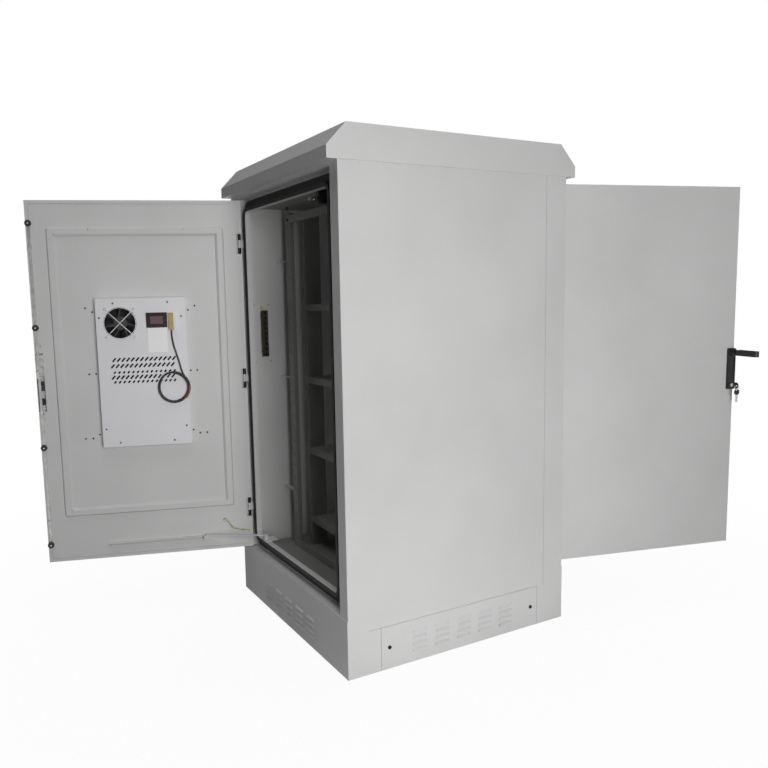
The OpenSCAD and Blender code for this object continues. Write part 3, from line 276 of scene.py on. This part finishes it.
# Plastic bows of the two keys: half their thickness, then radius and place of the one in the lock and of the spare
BOW_HALF, BOW_R, SPARE_R = 1.1, 11.1, 10.1
BOW_OUT, BOW_START = 19, 8
SPARE_RIGHT, SPARE_OUT, SPARE_DOWN = 0.6, 23, 22


def on_key_bow(p):
    """Whether a point of the rear keys is on a plastic bow."""
    reach = math.hypot(p.y - BOW_Y + BOW_OUT, p.z - PLUG_Z)
    across = abs(p.x - LOCK_X) < BOW_HALF and reach < BOW_R and p.y < BOW_Y - BOW_START
    reach = math.hypot(p.x - LOCK_X - SPARE_RIGHT, p.z - PLUG_Z + SPARE_DOWN)
    hanging = abs(p.y - BOW_Y + SPARE_OUT) < BOW_HALF and reach < SPARE_R
    return across or hanging


for name, obj in nodes.items():
    dress(obj, FINISH.get(name, powder_coat))
for end, where in ENDS:
    for rod in ("upper", "lower"):
        redress(f"{end}_{rod}_rod", black_nylon, where, lambda p: p.y > ROLLER_Y - 0.05)
        redress(f"{end}_{rod}_rod", black_zinc, where, lambda p: p.y > ROLLER_Y + ROLLER_T + 0.05)
    redress(f"{end}_lock_plug", black_nylon, where, lambda p: p.y > FACE_Y)
    redress(f"{end}_handle_spindle", zinc_plate, where, lambda p: p.y > FACE_Y)
    redress(f"{end}_hinge_leaves", black_zinc, where, lambda p: p.x < HINGE.x + BARREL_R + 0.2)
# Painted shade: the housing's faces in the door's face plane, which show through the panel's slots, take the black
# seal so that the slots read dark.
redress("ac_housing", black_seal_and_painted_shade, FRONT, lambda p: abs(p.y - FACE_Y) < 0.2)
redress("ac_terminal", white_nylon, FRONT, lambda p: p.x < TERMINAL_PLUG_X)
redress("rear_keys", black_nylon, REAR, on_key_bow)


# Pieces

def shape_mesh(name, lofts, hoop=False):
    """Mesh of closed skins: each loft is a row of rings with equal counts, with a UV map.

    A loft is capped at both ends; a hoop runs back into its first ring instead.
    """
    verts, faces, spots = [], [], []
    for rings in lofts:
        first, n, count = len(verts), len(rings[0]), len(rings)
        for ring in rings:
            verts.extend(ring)
        for i in range(count if hoop else count - 1):
            here, there = first + i * n, first + (i + 1) % count * n
            for k in range(n):
                m = (k + 1) % n
                faces.append((here + k, here + m, there + m, there + k))
                spots.extend(((k / n, i), ((k + 1) / n, i), ((k + 1) / n, i + 1), (k / n, i + 1)))
        if not hoop:
            faces.append(tuple(first + k for k in reversed(range(n))))
            faces.append(tuple(first + (count - 1) * n + k for k in range(n)))
            spots.extend(((0.0, 0.0),) * (2 * n))
    mesh = bpy.data.meshes.new(name)
    mesh.from_pydata(verts, [], faces)
    mesh.uv_layers.new(name="UVMap").data.foreach_set("uv", [c for spot in spots for c in spot])
    mesh.validate()
    skin = bmesh.new()
    skin.from_mesh(mesh)
    bmesh.ops.recalc_face_normals(skin, faces=skin.faces)
    skin.to_mesh(mesh)
    skin.free()
    return mesh


def turned(spot, facing, profile, sides):
    """Rings of a turned or hexagonal part: `profile` gives radius and height in mm above the spot."""
    normal = Vector(facing).normalized()
    u = normal.orthogonal().normalized()
    v = normal.cross(u)
    angles = [2 * math.pi * k / sides for k in range(sides)]
    return [[spot + (normal * h + (u * math.cos(a) + v * math.sin(a)) * r) / 1000.0 for a in angles]
            for r, h in profile]


def tube(points, radii, sides=12):
    """Rings round a line of points, carried along without twist."""
    rings = []
    u = (points[1] - points[0]).orthogonal().normalized()
    for i, point in enumerate(points):
        way = (points[min(i + 1, len(points) - 1)] - points[max(i - 1, 0)]).normalized()
        u = (u - way * u.dot(way)).normalized()
        v = way.cross(u)
        angles = [2 * math.pi * k / sides for k in range(sides)]
        rings.append([point + (u * math.cos(a) + v * math.sin(a)) * radii[i] for a in angles])
    return rings


CORNER_STEPS, PLATE_BEVEL = 4, 0.3


def sheet(where, x, y, z, height, corner, axis):
    """Rings of a thin plate with rounded corners: `x` and `z` spans in mm, raised from `y` along `axis`."""
    def outline(inset, lift):
        r = corner - inset
        ring = []
        for cx, cz, turn in ((x[1], z[1], 0), (x[0], z[1], 90), (x[0], z[0], 180), (x[1], z[0], 270)):
            mx = cx - math.copysign(corner, cx - sum(x) / 2)
            mz = cz - math.copysign(corner, cz - sum(z) / 2)
            for k in range(CORNER_STEPS + 1):
                a = math.radians(turn + 90.0 / CORNER_STEPS * k)
                flat = (mx + r * math.cos(a), mz + r * math.sin(a))
                ring.append(at(where, flat[0], y + lift, flat[1]) if axis == "Y"
                            else at(where, y + lift, flat[0], flat[1]))
        return ring
    bevel = min(PLATE_BEVEL, height / 2)
    return [outline(0, 0), outline(0, height - bevel), outline(bevel, height)]


def piece(name, data, material, body):
    """New object of the visual model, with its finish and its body."""
    obj = bpy.data.objects.new(name, data)
    bpy.context.scene.collection.objects.link(obj)
    if material is not None:
        dress(obj, material)
    if body is not None:
        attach(obj, body)
    return obj


# Screw head of radius and height 1: the top's radius, and the two sides of each bar of the cross recess
HEAD_SHAPE = {"Top Radius": 0.74, "Recess Length": 0.95, "Recess Width": 0.22}
HEAD_SIDES, RECESS_RAISE = 16, 1.1


def head_tree():
    """Node tree that sets a screw head with a cross recess on every point, turned to its `facing` attribute."""
    tree = bpy.data.node_groups.new("screw_heads", "GeometryNodeTree")
    tree.interface.new_socket("Geometry", in_out="INPUT", socket_type="NodeSocketGeometry")
    for size in HEAD_SHAPE:
        tree.interface.new_socket(size, in_out="INPUT", socket_type="NodeSocketFloat")
    tree.interface.new_socket("Geometry", in_out="OUTPUT", socket_type="NodeSocketGeometry")
    given = add(tree, "NodeGroupInput")
    head = add(tree, "GeometryNodeMeshCone", {"Vertices": HEAD_SIDES, "Radius Bottom": 1.0, "Depth": 1.0},
               {"Radius Top": given.outputs["Top Radius"]})
    cut = add(tree, "GeometryNodeMeshBoolean", {"operation": "DIFFERENCE"}, {0: head.outputs["Mesh"]})
    for x, y in (("Recess Length", "Recess Width"), ("Recess Width", "Recess Length")):
        size = add(tree, "ShaderNodeCombineXYZ", {"Z": 1.0}, {"X": given.outputs[x], "Y": given.outputs[y]})
        bar = add(tree, "GeometryNodeMeshCube", links={"Size": size.outputs[0]})
        raised = add(tree, "GeometryNodeTransform", {"Translation": (0, 0, RECESS_RAISE)},
                     {"Geometry": bar.outputs["Mesh"]})
        tree.links.new(raised.outputs[0], cut.inputs[1])
    facing = add(tree, "GeometryNodeInputNamedAttribute", {"data_type": "FLOAT_VECTOR", "Name": "facing"})
    size = add(tree, "GeometryNodeInputNamedAttribute", {"data_type": "FLOAT_VECTOR", "Name": "size"})
    dark = add(tree, "GeometryNodeInputNamedAttribute", {"data_type": "BOOLEAN", "Name": "dark"})
    turn = add(tree, "FunctionNodeAlignRotationToVector", {"axis": "Z"}, {"Vector": facing.outputs[0]})
    points = add(tree, "GeometryNodeMeshToPoints", links={"Mesh": given.outputs["Geometry"]})
    many = add(tree, "GeometryNodeInstanceOnPoints", links={
        "Points": points.outputs[0], "Instance": cut.outputs["Mesh"], "Rotation": turn.outputs[0],
        "Scale": size.outputs[0]})
    solid = add(tree, "GeometryNodeRealizeInstances", links={"Geometry": many.outputs[0]})
    plain = add(tree, "GeometryNodeSetMaterial", {"Material": zinc_plate}, {"Geometry": solid.outputs[0]})
    black = add(tree, "GeometryNodeSetMaterial", {"Material": black_zinc},
                {"Geometry": plain.outputs[0], "Selection": dark.outputs[0]})
    add(tree, "NodeGroupOutput", links={"Geometry": black.outputs[0]})
    return tree


HEADS = head_tree()


def screws(name, body, spots):
    """Screw heads at (point, facing, radius mm, height mm, dark) spots, kept as one plain mesh."""
    mesh = bpy.data.meshes.new(name + "_points")
    mesh.from_pydata([tuple(s[0]) for s in spots], [], [])
    ways = [c for s in spots for c in s[1]]
    mesh.attributes.new("facing", "FLOAT_VECTOR", "POINT").data.foreach_set("vector", ways)
    sizes = [c / 1000.0 for s in spots for c in (s[2], s[2], s[3])]
    mesh.attributes.new("size", "FLOAT_VECTOR", "POINT").data.foreach_set("vector", sizes)
    mesh.attributes.new("dark", "BOOLEAN", "POINT").data.foreach_set("value", [s[4] for s in spots])
    carrier = bpy.data.objects.new(name + "_points", mesh)
    bpy.context.scene.collection.objects.link(carrier)
    modifier = carrier.modifiers.new("heads", "NODES")
    modifier.node_group = HEADS
    for item in HEADS.interface.items_tree:
        if item.name in HEAD_SHAPE:
            modifier[item.identifier] = HEAD_SHAPE[item.name]
    made = bpy.data.meshes.new_from_object(carrier.evaluated_get(bpy.context.evaluated_depsgraph_get()))
    bpy.data.objects.remove(carrier)
    made.name = name
    made.materials.pop(index=0)  # empty slot that the cut leaves
    return piece(name, made, None, body)


SPAN_STEPS = 6


def spline(points):
    """Smooth curve through points, SPAN_STEPS samples to a span."""
    out = []
    ends = [points[0] * 2 - points[1]] + points + [points[-1] * 2 - points[-2]]
    for i in range(1, len(ends) - 2):
        a, b, c, d = ends[i - 1:i + 3]
        for k in range(SPAN_STEPS):
            t = k / SPAN_STEPS
            out.append(0.5 * (2 * b + (c - a) * t + (2 * a - 5 * b + 4 * c - d) * t ** 2
                              + (3 * b - a - 3 * c + d) * t ** 3))
    return out + [points[-1]]


def ramp(value, low, high):
    """Smooth step from 0 at `low` to 1 at `high`."""
    t = min(1.0, max(0.0, (value - low) / (high - low)))
    return t * t * (3 - 2 * t)


# Fan lead: down from the terminal, then wound into a coil on the panel. The second turn lies on the first one's inner
# side, and the end climbs over it to the outer side.
LEAD_R, LEAD_GAP = 3.0, 0.3
ROUTE = [(-101, 969.7), (-101, 950), (-105, 920), (-113, 890), (-121, 860), (-128, 830), (-138, 808)]
COIL, COIL_R = (-100.0, 772.0), 52.0
# Distance of a later turn from the first one's middle line, and its side: inner, then moved outward
TURN_GAP, INNER_SIDE, SIDE_CHANGE = 6.23, 136, 58
# Angles in degrees: start, step and end of the coil, leaving the first turn, moving outward
COIL_START, COIL_STEP, COIL_END = 150, 8, 940
LEAVE, CLIMB = (430, 490), (720, 790)


def coil_point(a):
    """Point of the coil at `a` degrees: later turns lie along the first one, `gap` mm from its middle line."""
    gap = TURN_GAP * ramp(a, *LEAVE)
    over = math.radians(INNER_SIDE - SIDE_CHANGE * ramp(a, *CLIMB))
    radius = COIL_R + gap * math.cos(over)
    lift = LEAD_R + LEAD_GAP + gap * math.sin(over)
    turn = math.radians(a)
    return at(FRONT, COIL[0] + radius * math.cos(turn), AC_Y + lift, COIL[1] + radius * math.sin(turn))


lead_points = spline([at(FRONT, x, AC_Y + LEAD_R + LEAD_GAP, z) for x, z in ROUTE] + [coil_point(COIL_START)])
lead_points += [coil_point(a) for a in range(COIL_START + COIL_STEP, COIL_END + 1, COIL_STEP)]
data = bpy.data.curves.new("fan_lead", "CURVE")
data.dimensions = "3D"
data.bevel_depth = LEAD_R / 1000.0
data.bevel_resolution = 4
data.use_fill_caps = True
line = data.splines.new("POLY")
line.points.add(len(lead_points) - 1)
for spot, point in zip(line.points, lead_points):
    spot.co = (*point, 1.0)
lead = piece("fan_lead", data, cable_pvc, "front_door")
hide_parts("ac_cable", "ac_cable_coil")

# Sleeve round the lead's end, rounded at both ends, and the bare strands that come out of it
SLEEVE_R, SLEEVE_SWELL, SLEEVE_ROUND = 0.00308, 0.00025, 2
STRAND_R, STRAND_OFF = 0.0007, 1.1
sleeve_line = [coil_point(a) for a in range(892, 945, 4)]
sleeve_last = len(sleeve_line) - 1
sleeve_radii = [SLEEVE_R + SLEEVE_SWELL * ramp(min(i, sleeve_last - i), 0, SLEEVE_ROUND)
                for i in range(sleeve_last + 1)]
sleeve = piece("lead_sleeve", shape_mesh("lead_sleeve", [tube(sleeve_line, sleeve_radii)]), brown_sleeve, "front_door")
strands = []
for side in (-STRAND_OFF, STRAND_OFF):
    core = [coil_point(a) + Vector((0, 0, side / 1000.0)) for a in range(944, 957, 3)]
    strands.append(tube(core, [STRAND_R] * len(core), 8))
bare = piece("lead_strands", shape_mesh("lead_strands", strands), copper, "front_door")

# Earth wire from a stud on the front door's liner to the frame
STUD = (-254, 282)
WIRE_R = 0.0017
wire_line = spline([at(FRONT, STUD[0], LINER_Y + 5, STUD[1]), at(FRONT, -262, LINER_Y + 6, 279),
                    at(FRONT, -272, LINER_Y + 9, 268), at(FRONT, -281, LINER_Y + 11, 254),
                    at(FRONT, -296, LINER_Y + 12, 249), at(FRONT, -316, LINER_Y + 12, 243),
                    at(STILL, -338, -398, 237), at(STILL, -346, -378, 234), at(STILL, -346, -367, 233)])
wire_mesh = shape_mesh("earth_wire", [tube(wire_line, [WIRE_R] * len(wire_line))])
wire = piece("earth_wire", wire_mesh, earth_pvc, None)
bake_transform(wire)

front_in, rear_in = along(FRONT, (0, 1, 0)), along(REAR, (0, 1, 0))
# Washer, nut and bolt of the stud: height above the liner, profile and number of sides
STUD_PARTS = ((0, [(7, 0), (7, 1.2), (6.4, 1.5)], 28),
              (1.4, [(6.6, 0), (6.6, 4.2), (5.6, 5.0)], 6),
              (1, [(3, 0), (3, 11), (2.4, 11.6)], 20))
stud = [turned(at(FRONT, STUD[0], LINER_Y + lift, STUD[1]), front_in, profile, sides)
        for lift, profile, sides in STUD_PARTS]
piece("earth_stud", shape_mesh("earth_stud", stud), zinc_plate, "front_door")

# Rivets that hold the rods' rollers
ROD_X, PIN_Y, PIN_R = 341.0, -375.4, 2.6
RIVET = [(PIN_R, 0), (PIN_R, 0.3), (PIN_R - 0.8, 0.8)]
ROLLER_Z = (("upper", (988, 1331)), ("lower", (240, 581)))
for end, where in ENDS:
    inward = along(where, (0, 1, 0))
    for rod, heights in ROLLER_Z:
        rivets = [turned(at(where, ROD_X, PIN_Y, z), inward, RIVET, 20) for z in heights]
        name = f"{end}_{rod}_rod_rivets"
        piece(name, shape_mesh(name, rivets), bright_steel, f"{end}_{rod}_rod")

# Blank label on the cooling unit's panel
label = sheet(FRONT, (-87, -22), AC_Y, (895, 979), 0.3, 2.0, "Y")
piece("panel_label", shape_mesh("panel_label", [label]), label_film, "front_door")

# Blank tag on the wall above the earth bar
tag = sheet(STILL, (-322, -312), -LINER_X, (1031, 1044), 0.4, 1.2, "X")
piece("earth_tag", shape_mesh("earth_tag", [tag]), yellow_tag, "cabinet")

# Flat black strip on the floor of each door frame's rain channel, outside the sealing lip: painted shade for the deep
# shade in the channel, whose own floor has the body's coat
OPEN_X, SILL_Z, OPEN_Z, CHANNEL_Y = 355.0, 173.0, 1410.0, -366.0
STRIP_EDGES, STRIP_T, STRIP_CORNER = (7.0, 31.0), 4.0, 35.0
FRAME_STEPS = 6


def frame_rings(where, half_x, z, corner, section):
    """Rings of a section carried round a rectangle with rounded corners.

    The section gives, in mm, how far inside the rectangle a point lies, and its Y.
    """
    rings = []
    across, low, high = half_x - corner, z[0] + corner, z[1] - corner
    for x, height, start in ((across, high, 0), (-across, high, 90), (-across, low, 180), (across, low, 270)):
        for step in range(FRAME_STEPS + 1):
            a = math.radians(start + 90 / FRAME_STEPS * step)
            rings.append([at(where, x + (corner - w) * math.cos(a), y, height + (corner - w) * math.sin(a))
                          for w, y in section])
    return rings


near, far, top = *STRIP_EDGES, CHANNEL_Y - STRIP_T
strip = [(near, CHANNEL_Y), (far, CHANNEL_Y), (far, top + 1), (far - 1, top), (near + 1, top), (near, top + 1)]
ends = [frame_rings(where, OPEN_X, (SILL_Z, OPEN_Z), STRIP_CORNER, strip)
        for where in (STILL, HALF_TURN)]
piece("channel_painted_shade", shape_mesh("channel_painted_shade", ends, hoop=True), black_seal_and_painted_shade, "cabinet")

# Slopes at both edges of the doors' pressed stiffener frame, which soften its steps
RIDGE_X, RIDGE_Z, RIDGE_W = 285.0, (338.0, 1313.0), 18.0
SLOPE_OUT, SLOPE_IN, RIDGE_CORNER = 5.0, 8.0, 6.0
for end, where in ENDS:
    low, high = LINER_Y, LINER_Y + STIFF_H
    name = f"{end}_stiffener_slopes"
    inner = RIDGE_X - RIDGE_W, (RIDGE_Z[0] + RIDGE_W, RIDGE_Z[1] - RIDGE_W)
    slopes = [frame_rings(where, RIDGE_X, RIDGE_Z, RIDGE_CORNER, [(0, low), (0, high), (-SLOPE_OUT, low)]),
              frame_rings(where, *inner, SLOPE_IN + 1, [(0, high), (0, low), (SLOPE_IN, low)])]
    piece(name, shape_mesh(name, slopes, hoop=True), powder_coat, f"{end}_door")

# Screws of the front door: cooling unit's panel and fan guard, liner, stiffener frame, lock and handle clamp.
# The rear door repeats those of the lock and the clamp. On the cabinet: the wall round the earth bar, and the rack.
PANEL = [(88, 1064), (-91, 1065), (-134.5, 1016), (134.5, 1016), (132, 637), (-136, 637), (88, 588), (-93, 588)]
FAN, GUARD_OFF, GUARD_T = (67, 997), 47, 4.0
GUARD = [(FAN[0] + GUARD_OFF * i, FAN[1] + GUARD_OFF * j) for i in (-1, 1) for j in (-1, 1)]
LINER = [(s * x, z) for s in (-1, 1) for x, z in ((181, 1050), (180.5, 826), (180.5, 603.5), (205, 604),
                                                  (158, 1036), (158, 826), (158, 616))]
RIDGE = [(-156, 1310), (155, 1310)]
LOCK = [(332, 928), (334, 698), (336, 679)]
CLAMP_Y, CLAMP = -389.5, [(337.5, 791.0)]
EARTH = [(-345, 1048), (-290, 1047), (-346, 842), (-288, 844)]
RACK = [(-246, 1376), (-246, 1336)]
# Radius, height and whether it is black, of each kind of head
PANEL_HEAD, GUARD_HEAD, LINER_HEAD = (3.0, 1.7, True), (3.4, 1.8, False), (3.2, 1.8, True)
RIDGE_HEAD, LOCK_HEAD, CLAMP_HEAD = (2.6, 1.2, False), (3.4, 1.8, False), (3.2, 1.5, False)
EARTH_HEAD, RACK_HEAD = (3.4, 1.8, False), (5.0, 3.0, True)


def door_heads(where, facing, rows):
    """Heads on a door from rows of (spots as x and z, y, kind)."""
    return [(at(where, x, y, z), facing, *kind) for spots, y, kind in rows for x, z in spots]


lock_rows = [(LOCK, RIM_Y, LOCK_HEAD), (CLAMP, CLAMP_Y, CLAMP_HEAD)]
front_rows = [(PANEL, AC_Y, PANEL_HEAD), (GUARD, AC_Y + GUARD_T, GUARD_HEAD), (LINER, LINER_Y, LINER_HEAD),
              (RIDGE, LINER_Y + STIFF_H, RIDGE_HEAD)]
screws("front_door_screws", "front_door", door_heads(FRONT, front_in, front_rows + lock_rows))
screws("rear_door_screws", "rear_door", door_heads(REAR, rear_in, lock_rows))
wall_heads = [(at(STILL, -LINER_X, y, z), Vector((1, 0, 0)), *EARTH_HEAD) for y, z in EARTH]
wall_heads += [(at(STILL, x, RACK_Y, z), Vector((0, -1, 0)), *RACK_HEAD) for x, z in RACK]
screws("cabinet_screws", "cabinet", wall_heads)


# Floor, light and camera

FLOOR_HALF = 60
# Bright card on the floor beside the right side, which throws light back: its middle, and the radii of its soft edge
CARD, CARD_EDGE = (0.95, -0.05, 0.0), (0.4, 0.95)
# Share of the floor's own glow, from near the cabinet to far from it, and the distances
GLOW_SHARE, GLOW_REACH = (0.94, 1.0), (0.6, 2.4)


def stage():
    """White floor: bright to the camera, darker to the light that it throws back, with the cabinet's soft shadow."""
    mesh = bpy.data.meshes.new("floor")
    corners = [(x * FLOOR_HALF, y * FLOOR_HALF, 0) for x, y in ((-1, -1), (1, -1), (1, 1), (-1, 1))]
    mesh.from_pydata(corners, [], [(0, 1, 2, 3)])
    floor = bpy.data.objects.new("floor", mesh)
    bpy.context.scene.collection.objects.link(floor)
    material, tree = new_material("white_paper_sweep")
    path = add(tree, "ShaderNodeLightPath")
    seen = add(tree, "ShaderNodeMath", {"operation": "MAXIMUM"},
               {0: path.outputs["Is Camera Ray"], 1: path.outputs["Is Glossy Ray"]})
    seen = add(tree, "ShaderNodeMath", {"operation": "MAXIMUM"},
               {0: seen.outputs[0], 1: path.outputs["Is Transmission Ray"]})
    place = add(tree, "ShaderNodeTexCoord")
    apart = add(tree, "ShaderNodeVectorMath", {"operation": "DISTANCE", 1: CARD}, {0: place.outputs["Object"]})
    card = add(tree, "ShaderNodeMapRange",
               {"From Min": CARD_EDGE[0], "From Max": CARD_EDGE[1], "To Min": 1.0, "To Max": 0.0},
               {"Value": apart.outputs["Value"]})
    bounce = add(tree, "ShaderNodeMix", {"data_type": "RGBA", 6: linear("3c3c3c"), 7: linear("ececec")},
                 {"Factor": card.outputs[0]})
    shade = add(tree, "ShaderNodeMix", {"data_type": "RGBA", 7: linear("f2f2f2")},
                {"Factor": seen.outputs[0], 6: bounce.outputs[2]})
    paper = add(tree, "ShaderNodeBsdfDiffuse", links={"Color": shade.outputs[2]})
    glow = add(tree, "ShaderNodeEmission", {"Color": (1, 1, 1, 1), "Strength": 1.0})
    reach = add(tree, "ShaderNodeVectorMath", {"operation": "LENGTH"}, {0: place.outputs["Object"]})
    own = add(tree, "ShaderNodeMapRange", {"From Min": GLOW_REACH[0], "From Max": GLOW_REACH[1],
                                           "To Min": GLOW_SHARE[0], "To Max": GLOW_SHARE[1]},
              {"Value": reach.outputs["Value"]})
    share = add(tree, "ShaderNodeMath", {"operation": "MULTIPLY"}, {0: seen.outputs[0], 1: own.outputs[0]})
    mix = add(tree, "ShaderNodeMixShader", links={0: share.outputs[0], 1: paper.outputs[0], 2: glow.outputs[0]})
    finish(tree, mix)
    dress(floor, material)


def world():
    """Faint cool surroundings that the camera sees as plain white."""
    sky = bpy.data.worlds.new("studio")
    sky.use_nodes = True
    tree = sky.node_tree
    tree.nodes.clear()
    path = add(tree, "ShaderNodeLightPath")
    seen = add(tree, "ShaderNodeMath", {"operation": "MAXIMUM"},
               {0: path.outputs["Is Camera Ray"], 1: path.outputs["Is Transmission Ray"]})
    soft = add(tree, "ShaderNodeBackground", {"Color": (0.9, 0.95, 1.0, 1), "Strength": 0.05})
    white = add(tree, "ShaderNodeBackground", {"Color": (1, 1, 1, 1), "Strength": 1.0})
    mix = add(tree, "ShaderNodeMixShader", links={0: seen.outputs[0], 1: soft.outputs[0], 2: white.outputs[0]})
    add(tree, "ShaderNodeOutputWorld", links={"Surface": mix.outputs[0]})
    bpy.context.scene.world = sky


def lamp(name, spot, aim, size, power):
    """Rectangular area lamp at a spot, turned to its aim: metres and watts."""
    data = bpy.data.lights.new(name, "AREA")
    data.shape = "RECTANGLE"
    data.size, data.size_y = size
    data.energy = power
    obj = bpy.data.objects.new(name, data)
    bpy.context.scene.collection.objects.link(obj)
    spot, aim = Vector(spot), Vector(aim)
    obj.matrix_world = Matrix.Translation(spot) @ (aim - spot).to_track_quat("-Z", "Y").to_matrix().to_4x4()


def camera():
    """Camera of the photograph: pose and principal point from a fit to the cabinet's corners."""
    yaw, pitch, roll = math.radians(61.39), math.radians(6.87), math.radians(-1.28)
    forward = Vector((-math.sin(yaw) * math.cos(pitch), math.cos(yaw) * math.cos(pitch), -math.sin(pitch)))
    right = Vector((math.cos(yaw), math.sin(yaw), 0.0))
    up = right.cross(forward)
    side = math.cos(roll) * right + math.sin(roll) * up
    top = -math.sin(roll) * right + math.cos(roll) * up
    data = bpy.data.cameras.new("photo_view")
    data.sensor_width = 36.0
    data.lens = 34.43
    data.shift_x, data.shift_y = 0.0454, 0.0039
    obj = bpy.data.objects.new("photo_view", data)
    bpy.context.scene.collection.objects.link(obj)
    turn = Matrix((side, top, -forward)).transposed().to_4x4()
    obj.matrix_world = Matrix.Translation((2.1148, -1.3149, 1.0627)) @ turn
    bpy.context.scene.camera = obj


stage()
world()
lamp("key_window", (3.1, -0.75, 0.9), (-0.1, -0.25, 0.8), (1.3, 2.4), 74)
lamp("top_fill", (0.6, -0.8, 6.5), (0.0, -0.1, 0.0), (4.5, 4.5), 132)
lamp("back_fill", (-3.3, 2.0, 1.7), (0.0, 0.2, 0.8), (2.0, 2.4), 75)
camera()
bpy.context.scene.view_settings.view_transform = "Standard"
